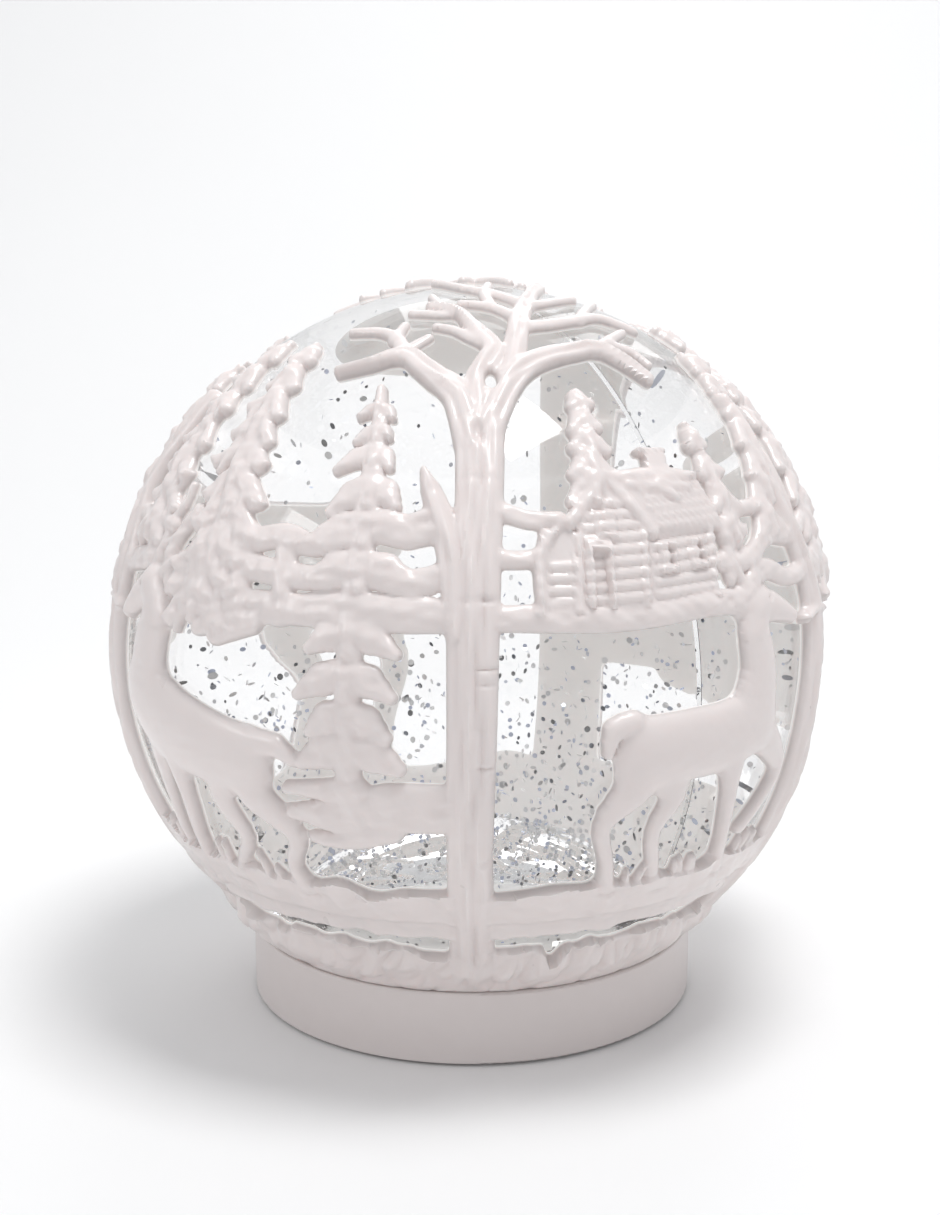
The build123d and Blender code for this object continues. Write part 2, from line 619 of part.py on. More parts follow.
with BuildPart() as battery_door:
    with BuildSketch(Plane.XY.offset(DOOR_Z[0])):
        Rectangle(*DOOR_SIZE)
        with Locations((0, TONGUE_Y)):
            Rectangle(*TONGUE)
    extrude(amount=DOOR_Z[1] - DOOR_Z[0] - 0.9)
    with BuildSketch(Plane.XY.offset(DOOR_Z[0])):
        Rectangle(*DOOR_SIZE)
    extrude(amount=DOOR_Z[1] - DOOR_Z[0])
    with BuildSketch(Plane.XY.offset(DOOR_Z[1] - 0.3)):
        with Locations(*[(x, HINGE_Y + 1.05) for x in HOOKS_X]):
            Rectangle(HOOK_WIDTH, 1.3)
    extrude(amount=1.9)
    with BuildSketch(Plane.XY.offset(COVER_TOP + 0.25)):
        with Locations(*[(x, HINGE_Y - 0.4) for x in HOOKS_X]):
            Rectangle(HOOK_WIDTH, 4.4)
    extrude(amount=1.2)
    cut_round(1.35, 0, 4, (0, TONGUE_Y))
save(battery_door.part, "battery_door")

with BuildPart() as door_screw:
    spot = (0, TONGUE_Y)
    posts(2.2, DOOR_Z[0] - 0.65, DOOR_Z[0] - 0.02, spot)
    posts(0.9, DOOR_Z[0] - 0.05, COVER_TOP + 3.0, spot)
save(door_screw.part, "door_screw")

SWITCH_Z = (COVER_TOP + 0.1, COVER_TOP + 5.6)
with BuildPart() as switch_case:
    with Locations((SWITCH_X, 0, (SWITCH_Z[0] + SWITCH_Z[1]) / 2)):
        Box(6.6, 19.0, SWITCH_Z[1] - SWITCH_Z[0])
    with Locations((SWITCH_X, 0, SWITCH_Z[0] + 1.4)):
        Box(4.0, 14.0, 2.8, mode=Mode.SUBTRACT)
save(switch_case.part, "switch_case")

with BuildPart() as switch_slider:
    with Locations((SWITCH_X, 0, SWITCH_Z[0] + 1.5)):
        Box(3.4, 7.2, 1.8)
    with Locations((SWITCH_X, 0, (0.9 + SWITCH_Z[0] + 1.0) / 2)):
        Box(2.4, 3.8, SWITCH_Z[0] + 1.0 - 0.9)
save(switch_slider.part, "switch_slider")
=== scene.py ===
"""Water-filled snow globe wrapped in a moulded winter wood: looks, staging and camera."""

import json
import logging
import math
from dataclasses import dataclass, field
from enum import Enum

import bpy
import numpy as np
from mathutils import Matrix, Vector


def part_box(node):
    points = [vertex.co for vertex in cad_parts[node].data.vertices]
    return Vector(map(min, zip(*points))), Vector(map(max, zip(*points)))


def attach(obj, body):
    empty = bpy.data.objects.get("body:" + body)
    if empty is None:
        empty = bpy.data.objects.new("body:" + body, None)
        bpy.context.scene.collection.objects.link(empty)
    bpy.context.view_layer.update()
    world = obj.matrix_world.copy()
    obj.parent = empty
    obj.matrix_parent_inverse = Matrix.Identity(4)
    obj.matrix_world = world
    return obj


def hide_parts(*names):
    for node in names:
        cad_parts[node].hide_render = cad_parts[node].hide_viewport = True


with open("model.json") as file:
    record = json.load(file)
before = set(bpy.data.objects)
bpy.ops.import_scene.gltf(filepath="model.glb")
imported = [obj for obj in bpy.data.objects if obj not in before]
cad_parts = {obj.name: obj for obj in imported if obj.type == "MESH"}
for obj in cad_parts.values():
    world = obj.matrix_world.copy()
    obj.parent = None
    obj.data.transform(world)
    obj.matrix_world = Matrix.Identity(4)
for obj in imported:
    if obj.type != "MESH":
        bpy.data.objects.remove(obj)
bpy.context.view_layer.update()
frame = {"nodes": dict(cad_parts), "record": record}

LOG = logging.getLogger("snow_globe")
MM = 0.001
Places = list[tuple[float, float]]
Colour = tuple[float, float, float]


class Part(Enum):
    """What the overlay's skin is modelled in: the sign of Y, and below or above the shelf."""

    FRONT_LOW = (-1, -1)
    FRONT_HIGH = (-1, 1)
    REAR_LOW = (1, -1)
    REAR_HIGH = (1, 1)


class Surface(Enum):
    """What is cut into the surface of a stroke."""

    PLAIN = "plain"
    BARK = "bark"
    FUR = "fur"
    SNOW = "snow"


# --- finishes ---------------------------------------------------------------------------------
@dataclass(frozen=True)
class Finish:
    """A procedural finish: a mottled colour, uneven gloss, fine bumps, and optional emission that is painted
    light.
    """

    name: str
    colour: Colour
    second: Colour
    roughness: float = 0.4
    roughness_spread: float = 0.08
    metallic: float = 0.0
    grain: float = 400.0
    bump: float = 0.05
    bump_depth: float = 0.0002
    stretch: tuple[float, float, float] = (1.0, 1.0, 1.0)
    coat: float = 0.0
    coat_roughness: float = 0.1
    subsurface: float = 0.0
    transmission: float = 0.0
    ior: float = 1.5
    # Emission over the whole surface: painted light on a part that is no lamp.
    painted_glow: float = 0.0
    # Emission on the faces marked lining: painted light on the overlay's inner faces, standing in for light
    # through the glass.
    lining_painted_glow: float = 0.0

    def build(self) -> bpy.types.Material:
        """Make the node material.

        Returns:
            The new material.
        """
        mat = bpy.data.materials.new(self.name)
        mat.use_nodes = True
        nodes, links = mat.node_tree.nodes, mat.node_tree.links
        shader = nodes["Principled BSDF"]
        coords = nodes.new("ShaderNodeTexCoord")
        mapping = nodes.new("ShaderNodeMapping")
        mapping.inputs["Scale"].default_value = self.stretch
        links.new(coords.outputs["Object"], mapping.inputs["Vector"])
        cloud = nodes.new("ShaderNodeTexNoise")
        cloud.inputs["Scale"].default_value = self.grain * 0.15
        cloud.inputs["Detail"].default_value = 4.0
        links.new(mapping.outputs["Vector"], cloud.inputs["Vector"])
        tint = nodes.new("ShaderNodeMix")
        tint.data_type = "RGBA"
        tint.inputs["A"].default_value = (*self.colour, 1.0)
        tint.inputs["B"].default_value = (*self.second, 1.0)
        links.new(cloud.outputs["Fac"], tint.inputs["Factor"])
        links.new(tint.outputs["Result"], shader.inputs["Base Color"])
        gloss = nodes.new("ShaderNodeMapRange")
        gloss.inputs["To Min"].default_value = max(0.0, self.roughness - self.roughness_spread)
        gloss.inputs["To Max"].default_value = self.roughness + self.roughness_spread
        links.new(cloud.outputs["Fac"], gloss.inputs["Value"])
        links.new(gloss.outputs["Result"], shader.inputs["Roughness"])
        fine = nodes.new("ShaderNodeTexNoise")
        fine.inputs["Scale"].default_value = self.grain
        fine.inputs["Detail"].default_value = 3.0
        links.new(mapping.outputs["Vector"], fine.inputs["Vector"])
        bump = nodes.new("ShaderNodeBump")
        bump.inputs["Strength"].default_value = self.bump
        bump.inputs["Distance"].default_value = self.bump_depth
        links.new(fine.outputs["Fac"], bump.inputs["Height"])
        links.new(bump.outputs["Normal"], shader.inputs["Normal"])
        shader.inputs["Metallic"].default_value = self.metallic
        shader.inputs["Coat Weight"].default_value = self.coat
        shader.inputs["Coat Roughness"].default_value = self.coat_roughness
        shader.inputs["IOR"].default_value = self.ior
        shader.inputs["Transmission Weight"].default_value = self.transmission
        # Painted light: even emission over the surface.
        if self.painted_glow > 0.0:
            shader.inputs["Emission Color"].default_value = (1.0, 0.99, 0.97, 1.0)
            shader.inputs["Emission Strength"].default_value = self.painted_glow
        # Painted light: emission on the inner faces, scaled by the lining attribute.
        if self.lining_painted_glow > 0.0:
            lining = nodes.new("ShaderNodeAttribute")
            lining.attribute_name = "lining"
            lit = nodes.new("ShaderNodeMath")
            lit.operation = "MULTIPLY"
            lit.inputs[1].default_value = self.lining_painted_glow
            links.new(lining.outputs["Fac"], lit.inputs[0])
            links.new(lit.outputs["Value"], shader.inputs["Emission Strength"])
            shader.inputs["Emission Color"].default_value = (1.0, 0.985, 0.96, 1.0)
        if self.subsurface > 0.0:
            shader.inputs["Subsurface Weight"].default_value = self.subsurface
            shader.inputs["Subsurface Scale"].default_value = 0.003
            shader.inputs["Subsurface Radius"].default_value = (1.0, 0.85, 0.8)
        return mat


@dataclass(frozen=True)
class ClearFinish:
    """A clear solid or liquid with no colour of its own."""

    name: str
    ior: float
    tint: Colour = (1.0, 1.0, 1.0)
    ripple: float = 0.0

    def build(self) -> bpy.types.Material:
        """Make the node material.

        Returns:
            The new material.
        """
        mat = bpy.data.materials.new(self.name)
        mat.use_nodes = True
        nodes, links = mat.node_tree.nodes, mat.node_tree.links
        shader = nodes["Principled BSDF"]
        shader.inputs["Base Color"].default_value = (*self.tint, 1.0)
        shader.inputs["Roughness"].default_value = 0.0
        shader.inputs["IOR"].default_value = self.ior
        shader.inputs["Transmission Weight"].default_value = 1.0
        if self.ripple > 0.0:
            coords = nodes.new("ShaderNodeTexCoord")
            waves = nodes.new("ShaderNodeTexNoise")
            waves.inputs["Scale"].default_value = 35.0
            waves.inputs["Detail"].default_value = 1.0
            links.new(coords.outputs["Object"], waves.inputs["Vector"])
            bump = nodes.new("ShaderNodeBump")
            bump.inputs["Strength"].default_value = self.ripple
            bump.inputs["Distance"].default_value = 0.0004
            links.new(waves.outputs["Fac"], bump.inputs["Height"])
            links.new(bump.outputs["Normal"], shader.inputs["Normal"])
        return mat


@dataclass(frozen=True)
class FoilFinish:
    """Foil flakes: bright metal whose colour goes from flake to flake by their tone."""

    name: str = "foil_flakes"
    roughness: float = 0.32

    def build(self) -> bpy.types.Material:
        """Make the node material.

        Returns:
            The new material.
        """
        mat = bpy.data.materials.new(self.name)
        mat.use_nodes = True
        nodes, links = mat.node_tree.nodes, mat.node_tree.links
        shader = nodes["Principled BSDF"]
        tone = nodes.new("ShaderNodeAttribute")
        tone.attribute_name = "tone"
        ramp = nodes.new("ShaderNodeValToRGB")
        steps = ramp.color_ramp.elements
        steps[0].color = (0.72, 0.74, 0.78, 1.0)
        steps[1].color = (0.95, 0.95, 0.95, 1.0)
        for place, colour in ((0.35, (0.6, 0.66, 0.84, 1.0)), (0.5, (0.8, 0.8, 0.82, 1.0))):
            steps.new(place).color = colour
        links.new(tone.outputs["Fac"], ramp.inputs["Fac"])
        links.new(ramp.outputs["Color"], shader.inputs["Base Color"])
        shader.inputs["Metallic"].default_value = 0.9
        shader.inputs["Roughness"].default_value = self.roughness
        return mat


FINISHES: dict[str, Finish | ClearFinish | FoilFinish] = {
    "frosted_skin": Finish(
        "frosted_skin", (0.76, 0.695, 0.68), (0.8, 0.735, 0.72), 0.3, 0.06, grain=900.0,
        bump=0.12, bump_depth=0.0002, coat=0.25, coat_roughness=0.16, subsurface=0.35,
        # Painted light: the inner faces emit, standing in for light that reaches them through the globe.
        lining_painted_glow=0.5,
    ),
    "clear_shell": ClearFinish("clear_shell", 1.49),
    "liquid": ClearFinish("liquid", 1.335),
    "flakes": FoilFinish(),
    "white_floor": Finish(
        "white_floor", (0.86, 0.86, 0.855), (0.9, 0.9, 0.895), 0.35, 0.05, grain=500.0,
        # Painted light: the globe's floor emits, brightening the inside of the globe.
        bump=0.06, painted_glow=0.35,
    ),
    "base_white": Finish(
        "base_white", (0.7, 0.64, 0.625), (0.73, 0.67, 0.655), 0.34, 0.05, grain=1400.0,
        bump=0.05, bump_depth=0.0001, coat=0.1, coat_roughness=0.2, subsurface=0.08,
    ),
    "cover_white": Finish(
        "cover_white", (0.8, 0.785, 0.78), (0.84, 0.825, 0.82), 0.6, 0.06, grain=2600.0,
        bump=0.35, bump_depth=0.0002,
    ),
    "seal_rubber": Finish(
        "seal_rubber", (0.02, 0.02, 0.02), (0.045, 0.045, 0.045), 0.75, 0.1, grain=1500.0, bump=0.3
    ),
    "foot_rubber": Finish(
        "foot_rubber", (0.6, 0.6, 0.59), (0.68, 0.68, 0.67), 0.8, 0.08, grain=1800.0, bump=0.3
    ),
    "impeller_nylon": Finish(
        "impeller_nylon", (0.82, 0.81, 0.77), (0.86, 0.85, 0.82), 0.5, 0.06, grain=1200.0, bump=0.1
    ),
    "magnet_nickel": Finish(
        "magnet_nickel", (0.6, 0.59, 0.56), (0.66, 0.65, 0.62), 0.22, 0.08, 1.0, grain=2000.0, bump=0.1
    ),
    "bright_steel": Finish(
        "bright_steel", (0.56, 0.57, 0.58), (0.68, 0.68, 0.67), 0.28, 0.1, 1.0, grain=2200.0,
        bump=0.15, stretch=(1.0, 1.0, 6.0),
    ),
    "motor_steel": Finish(
        "motor_steel", (0.52, 0.53, 0.54), (0.62, 0.62, 0.62), 0.34, 0.1, 1.0, grain=1800.0,
        bump=0.18, stretch=(1.0, 1.0, 9.0),
    ),
    "board_green": Finish(
        "board_green", (0.015, 0.16, 0.05), (0.03, 0.22, 0.08), 0.35, 0.08, grain=900.0,
        bump=0.2, coat=0.4,
    ),
    "lamp_epoxy": Finish(
        "lamp_epoxy", (0.9, 0.9, 0.8), (0.95, 0.94, 0.86), 0.12, 0.04, grain=800.0, bump=0.04,
        transmission=0.3, ior=1.5,
    ),
    "chip_black": Finish(
        "chip_black", (0.015, 0.015, 0.016), (0.03, 0.03, 0.032), 0.55, 0.08, grain=3000.0, bump=0.3
    ),
    "cell_jacket": Finish(
        "cell_jacket", (0.06, 0.13, 0.27), (0.08, 0.16, 0.32), 0.3, 0.06, 0.4, grain=700.0,
        bump=0.05, coat=0.5,
    ),
    "contact_nickel": Finish(
        "contact_nickel", (0.66, 0.64, 0.6), (0.72, 0.7, 0.66), 0.25, 0.08, 1.0, grain=1800.0, bump=0.12
    ),
    "switch_black": Finish(
        "switch_black", (0.02, 0.02, 0.02), (0.04, 0.04, 0.04), 0.5, 0.08, grain=2600.0, bump=0.25
    ),
    "tray_white": Finish(
        "tray_white", (0.77, 0.77, 0.76), (0.82, 0.82, 0.81), 0.5, 0.06, grain=1500.0, bump=0.15
    ),
}


class Paint:
    """Builds each finish once and puts it on pieces."""

    def __init__(self) -> None:
        """Start with no material made."""
        self.made: dict[str, bpy.types.Material] = {}

    def get(self, slot: str) -> bpy.types.Material:
        """The material of a slot.

        Args:
            slot: The record's material slot.

        Returns:
            The material, made on first use.
        """
        if slot not in self.made:
            self.made[slot] = FINISHES[slot].build()
        return self.made[slot]

    def dress(self, piece: bpy.types.Object, slot: str) -> None:
        """Give a piece the finish of a slot.

        Args:
            piece: The mesh object.
            slot: The record's material slot.
        """
        piece.data.materials.clear()
        piece.data.materials.append(self.get(slot))


PAINT = Paint()


# --- mesh helpers -----------------------------------------------------------------------------
def mesh_piece(name: str, points: np.ndarray, faces: list, smooth: bool = True) -> bpy.types.Object:
    """Make a mesh object in the scene.

    Args:
        name: The piece's name.
        points: Corner positions in metres, one row each.
        faces: Corner numbers of each face.
        smooth: Whether faces are shaded smooth.

    Returns:
        The new object, at the origin.
    """
    mesh = bpy.data.meshes.new(name)
    mesh.from_pydata(points.tolist(), [], faces)
    mesh.validate()
    if smooth:
        mesh.polygons.foreach_set("use_smooth", [True] * len(mesh.polygons))
    mesh.update()
    piece = bpy.data.objects.new(name, mesh)
    bpy.context.scene.collection.objects.link(piece)
    return piece


def tri_piece(name: str, points: np.ndarray, tris: np.ndarray, sharp: float) -> bpy.types.Object:
    """Make a large triangle mesh quickly.

    Args:
        name: The piece's name.
        points: Corner positions in metres.
        tris: Corner numbers, three to a row.
        sharp: Angle in degrees past which an edge stays crisp.

    Returns:
        The new object, at the origin.
    """
    mesh = bpy.data.meshes.new(name)
    mesh.vertices.add(len(points))
    mesh.vertices.foreach_set("co", points.astype(np.float32).ravel())
    mesh.loops.add(tris.size)
    mesh.loops.foreach_set("vertex_index", tris.astype(np.int32).ravel())
    mesh.polygons.add(len(tris))
    mesh.polygons.foreach_set("loop_start", np.arange(0, tris.size, 3, dtype=np.int32))
    mesh.update(calc_edges=True)
    mesh.polygons.foreach_set("use_smooth", np.ones(len(tris), dtype=bool))
    mesh.set_sharp_from_angle(angle=math.radians(sharp))
    mesh.update()
    piece = bpy.data.objects.new(name, mesh)
    bpy.context.scene.collection.objects.link(piece)
    return piece


def lathe(name: str, profile: list[tuple[float, float]], around: int) -> bpy.types.Object:
    """Turn a closed outline about the Z axis.

    Args:
        name: The piece's name.
        profile: (radius, height) corners in metres, running up the outside; a radius of 0 is a pole.
        around: Number of steps round the axis.

    Returns:
        The new object.
    """
    points: list[tuple[float, float, float]] = []
    rows: list[list[int]] = []
    for radius, height in profile:
        if radius <= 0.0:
            rows.append([len(points)] * around)
            points.append((0.0, 0.0, height))
            continue
        rows.append([len(points) + k for k in range(around)])
        for k in range(around):
            turn = 2.0 * math.pi * k / around
            points.append((radius * math.cos(turn), radius * math.sin(turn), height))
    faces = []
    for row, above in zip(rows, rows[1:]):
        for k in range(around):
            m = (k + 1) % around
            corners = [row[k], row[m], above[m], above[k]]
            faces.append(list(dict.fromkeys(corners)))
    return mesh_piece(name, np.array(points), [f for f in faces if len(f) > 2])


# --- the relief of the overlay ------------------------------------------------------------------
def direction(turn: float | np.ndarray, height: float | np.ndarray) -> np.ndarray:
    """Unit direction from the globe's centre.

    Args:
        turn: Degrees round from the front, positive to the right.
        height: Degrees above the equator.

    Returns:
        The direction, or one row for each turn.
    """
    a, b = np.radians(turn), np.radians(height)
    return np.stack([np.cos(b) * np.sin(a), -np.cos(b) * np.cos(a), np.sin(b)], axis=-1)


def soft_max(a: np.ndarray, b: np.ndarray, blend: float) -> np.ndarray:
    """The larger of two fields, with a rounded valley where they meet.

    Args:
        a: First field.
        b: Second field.
        blend: Width of the rounding, in the fields' units.

    Returns:
        The joined field.
    """
    near = np.clip(blend - np.abs(a - b), 0.0, None) / blend
    return np.maximum(a, b) + near * near * blend * 0.25


class Ripples:
    """Smooth random ripples through space, from a few sine waves."""

    def __init__(self, seed: int, wave: float, count: int = 7) -> None:
        """Choose the waves.

        Args:
            seed: Fixed seed.
            wave: Typical wavelength in millimetres.
            count: Number of waves added up.
        """
        draw = np.random.default_rng(seed)
        ways = draw.normal(size=(count, 3))
        ways /= np.linalg.norm(ways, axis=1, keepdims=True)
        self.waves = ways * (2.0 * math.pi / wave) * draw.uniform(0.6, 1.5, (count, 1))
        self.starts = draw.uniform(0.0, 2.0 * math.pi, count)

    def at(self, points: np.ndarray) -> np.ndarray:
        """The ripple's height, about -1 to 1.

        Args:
            points: Places in millimetres.

        Returns:
            One height for each point.
        """
        waves = np.sin(points @ self.waves.T + self.starts)
        return waves.sum(axis=1) / math.sqrt(len(self.starts) * 1.6)


@dataclass
class Moulding:
    """The overlay's skin as a field over the globe: how deep inside its outline, how proud."""

    globe_r: float
    globe_z: float
    foot_z: float
    top_z: float
    gap: float = 0.15
    edge: float = 0.9
    highest: float = 3.65
    cells: int = 212
    shelf: float = 8.5
    lowest: float = -57.0
    panel_margin: float = 4.0
    press_margin: float = 2.0
    empty: float = -50.0
    far: float = 1e3
    flange_step: float = 1.45
    flange_from: float = -44.0
    flange_over: float = 3.5
    dirs: np.ndarray = field(init=False)
    tris: np.ndarray = field(init=False)
    depth: np.ndarray = field(init=False)
    rise: np.ndarray = field(init=False)
    spots: np.ndarray = field(init=False)
    turn: np.ndarray = field(init=False)
    height: np.ndarray = field(init=False)
    coarse: Ripples = field(init=False)
    fine: Ripples = field(init=False)

    def __post_init__(self) -> None:
        """Divide the ball and start with an empty field."""
        self.dirs, self.tris = self.cube_ball()
        self.spots = self.dirs * self.globe_r
        self.turn = np.degrees(np.arctan2(self.dirs[:, 0], -self.dirs[:, 1]))
        self.height = np.degrees(np.arcsin(np.clip(self.dirs[:, 2], -1.0, 1.0)))
        self.depth = np.full(len(self.dirs), self.empty)
        self.rise = np.full(len(self.dirs), 0.0)
        self.coarse = Ripples(3, 9.0)
        self.fine = Ripples(4, 3.2)

    def cube_ball(self) -> tuple[np.ndarray, np.ndarray]:
        """A ball divided like a cube's sides, with no poles.

        Returns:
            Unit directions and triangles, without the part under the base.
        """
        line = np.tan(np.linspace(-1.0, 1.0, self.cells + 1) * math.pi / 4.0)
        a, b = np.meshgrid(line, line, indexing="ij")
        step = self.cells + 1
        index = np.arange(step * step).reshape(step, step)
        quad = np.stack([index[:-1, :-1], index[1:, :-1], index[1:, 1:], index[:-1, 1:]], -1)
        quad = quad.reshape(-1, 4)
        points, tris = [], []
        for axis in range(3):
            for sign in (-1.0, 1.0):
                side = np.empty((step, step, 3))
                side[..., axis] = sign
                side[..., (axis + 1) % 3] = a
                side[..., (axis + 2) % 3] = b
                side /= np.linalg.norm(side, axis=-1, keepdims=True)
                corners = quad if sign > 0 else quad[:, ::-1]
                offset = len(points) * step * step
                tris.append(corners[:, [0, 1, 2]] + offset)
                tris.append(corners[:, [0, 2, 3]] + offset)
                points.append(side.reshape(-1, 3))
        stacked, joined = np.concatenate(points), np.concatenate(tris)
        _, first, inverse = np.unique(
            np.round(stacked * 1e6).astype(np.int64), axis=0, return_index=True, return_inverse=True
        )
        joined = inverse.reshape(-1)[joined]
        dirs = stacked[first]
        low = math.sin(math.radians(self.lowest))
        joined = joined[(dirs[joined][:, :, 2] > low).all(axis=1)]
        used = np.unique(joined)
        renumber = np.full(len(dirs), -1)
        renumber[used] = np.arange(len(used))
        return dirs[used], renumber[joined]

    def near(self, place: np.ndarray, reach: float) -> np.ndarray:
        """Grid points near a direction.

        Args:
            place: Unit direction.
            reach: How near, mm.

        Returns:
            Numbers of the grid points.
        """
        limit = math.cos(min(reach / self.globe_r, math.pi))
        return np.nonzero(self.dirs @ place > limit)[0]

    def merge(self, at: np.ndarray, depth: np.ndarray, rise: np.ndarray, blend: float) -> None:
        """Join one feature to the field.

        Args:
            at: Grid points that it reaches.
            depth: Its depth inside its outline at each, mm.
            rise: Its height there, mm.
            blend: Width of the fillet where it meets the rest, mm.
        """
        self.depth[at] = soft_max(self.depth[at], depth, blend)
        self.rise[at] = soft_max(self.rise[at], rise, min(blend, 0.8))

    def route(self, places: Places, widths: list[float]) -> tuple[np.ndarray, np.ndarray]:
        """A smooth run over the globe through a few places.

        Args:
            places: (turn, height) in degrees.
            widths: Half width at each place, mm.

        Returns:
            Directions along the run, and the half width at each.
        """
        knots = direction(np.array([p[0] for p in places]), np.array([p[1] for p in places]))
        sizes = np.interp(np.linspace(0, 1, len(places)), np.linspace(0, 1, len(widths)), widths)
        padded = np.vstack([2 * knots[0] - knots[1], knots, 2 * knots[-1] - knots[-2]])
        out, out_w = [], []
        for k in range(len(knots) - 1):
            p0, p1, p2, p3 = padded[k : k + 4]
            steps = max(2, int(np.linalg.norm(p2 - p1) * self.globe_r / 2.2))
            t = np.linspace(0, 1, steps, endpoint=False)[:, None]
            out.append(
                0.5 * (2 * p1 + (p2 - p0) * t + (2 * p0 - 5 * p1 + 4 * p2 - p3) * t**2
                       + (3 * p1 - p0 - 3 * p2 + p3) * t**3)
            )
            out_w.append(sizes[k] + (sizes[k + 1] - sizes[k]) * t[:, 0])
        line = np.vstack([*out, knots[-1:]])
        line /= np.linalg.norm(line, axis=1, keepdims=True)
        return line, np.concatenate([*out_w, sizes[-1:]])

    def stroke(
        self,
        places: Places,
        widths: list[float],
        rise: float,
        surface: Surface = Surface.PLAIN,
        blend: float = 1.0,
    ) -> None:
        """Add a rounded limb along a run.

        Args:
            places: (turn, height) in degrees.
            widths: Half width along the run, mm.
            rise: How proud its crest stands, mm.
            surface: What is cut into it.
            blend: Fillet where it meets the rest, mm.
        """
        line, sizes = self.route(places, widths)
        best = np.full(len(self.dirs), self.empty)
        share = np.zeros(len(self.dirs))
        across = np.zeros(len(self.dirs))
        along = np.zeros(len(self.dirs))
        walked = 0.0
        for k in range(len(line) - 1):
            a, b = line[k] * self.globe_r, line[k + 1] * self.globe_r
            run = b - a
            length = float(np.linalg.norm(run))
            middle = line[k] + line[k + 1]
            middle /= np.linalg.norm(middle)
            at = self.near(middle, length / 2 + max(sizes[k], sizes[k + 1]) + 2.5)
            if not len(at):
                walked += length
                continue
            offset = self.spots[at] - a
            t = np.clip(offset @ run / length**2, 0.0, 1.0)
            gap = offset - t[:, None] * run
            dist = np.linalg.norm(gap, axis=1)
            half = sizes[k] + (sizes[k + 1] - sizes[k]) * t
            inside = half - dist
            better = inside > best[at]
            won = at[better]
            best[won] = inside[better]
            share[won] = (inside / half)[better]
            across[won] = (gap @ np.cross(middle, run / length))[better]
            along[won] = (walked + t * length)[better]
            walked += length
        at = np.nonzero(best > -2.5)[0]
        deep = np.clip(share[at], 0.0, 1.0)
        crest = self.edge + (rise - self.edge) * np.sqrt(1.0 - (1.0 - deep) ** 2)
        crest += self.carving(surface, at, across[at], along[at], deep)
        crest = np.where(best[at] > 0, crest, self.edge + 0.4 * best[at])
        self.merge(at, best[at], crest, blend)

    def carving(
        self, surface: Surface, at: np.ndarray, across: np.ndarray, along: np.ndarray, deep: np.ndarray
    ) -> np.ndarray:
        """What a surface adds to the crest.

        Args:
            surface: The kind of surface.
            at: Grid points.
            across: Distance to the side of the run, mm.
            along: Distance along the run, mm.
            deep: 0 at the outline to 1 at the middle.

        Returns:
            Height to add, mm.
        """
        if surface is Surface.BARK:
            sway = 1.3 * np.sin(along * 0.21) + 0.8 * np.sin(along * 0.083 + 1.0)
            groove = np.sin(1.7 * across + sway) * 0.42 + np.sin(3.7 * across - 0.7 * sway) * 0.2
            rings = -0.2 * np.exp(-((((along + 7.0) % 23.0) - 11.5) / 0.7) ** 2)
            return (groove + rings - 0.15) * np.sqrt(deep)
        if surface is Surface.FUR:
            return 0.06 * self.fine.at(self.spots[at]) * deep
        if surface is Surface.SNOW:
            lumps = 0.42 * self.coarse.at(self.spots[at]) + 0.22 * self.fine.at(self.spots[at])
            return lumps * np.sqrt(deep)
        return 0.1 * self.fine.at(self.spots[at]) * deep

    def local(self, turn: float, height: float, reach: float) -> tuple[np.ndarray, np.ndarray, np.ndarray]:
        """Flat coordinates about a place, as seen from straight in front of it.

        Args:
            turn: The place's turn.
            height: The place's height.
            reach: Radius of the neighbourhood, mm.

        Returns:
            Grid points, then their distance right and up in mm.
        """
        centre = direction(turn, height)
        right = np.array([math.cos(math.radians(turn)), math.sin(math.radians(turn)), 0.0])
        up = np.cross(centre, right)
        at = self.near(centre, reach)
        return at, self.spots[at] @ right, self.spots[at] @ up

    def within(self, outline: Places, margin: float) -> tuple[np.ndarray, np.ndarray]:
        """How deep grid points lie inside a convex outline with straight sides.

        Args:
            outline: (turn, height) corners, anticlockwise.
            margin: How far outside its corners points are still taken, mm.

        Returns:
            Grid points, and the distance of each inside the nearest side, mm.
        """
        turn = sum(p[0] for p in outline) / len(outline)
        height = sum(p[1] for p in outline) / len(outline)
        corners = direction(np.array([p[0] for p in outline]), np.array([p[1] for p in outline]))
        right = np.array([math.cos(math.radians(turn)), math.sin(math.radians(turn)), 0.0])
        up = np.cross(direction(turn, height), right)
        x, y = corners @ right * self.globe_r, corners @ up * self.globe_r
        at, u, v = self.local(turn, height, float(np.hypot(x, y).max()) + margin)
        inside = np.full(len(at), self.far)
        for k in range(len(x)):
            m = (k + 1) % len(x)
            ex, ey = x[m] - x[k], y[m] - y[k]
            inside = np.minimum(inside, (ex * (v - y[k]) - ey * (u - x[k])) / math.hypot(ex, ey))
        return at, inside

    def flat(self, outline: Places, rise: float, blend: float = 0.3, round_edge: float = 0.5) -> None:
        """Add a flat-topped panel with straight sides.

        Args:
            outline: (turn, height) corners, anticlockwise, convex.
            rise: Height of its top, mm.
            blend: Fillet where it meets the rest, mm.
            round_edge: Radius of its shoulder, mm.
        """
        at, inside = self.within(outline, self.panel_margin)
        keep = inside > -2.0
        at, inside = at[keep], inside[keep]
        deep = np.clip(inside / round_edge, 0.0, 1.0)
        crest = self.edge + (rise - self.edge) * np.sqrt(1.0 - (1.0 - deep) ** 2)
        crest = np.where(inside > 0, crest, self.edge + 0.4 * inside)
        self.depth[at] = soft_max(self.depth[at], inside, blend)
        self.rise[at] = np.where(inside > -0.2, np.maximum(self.rise[at], crest), self.rise[at])

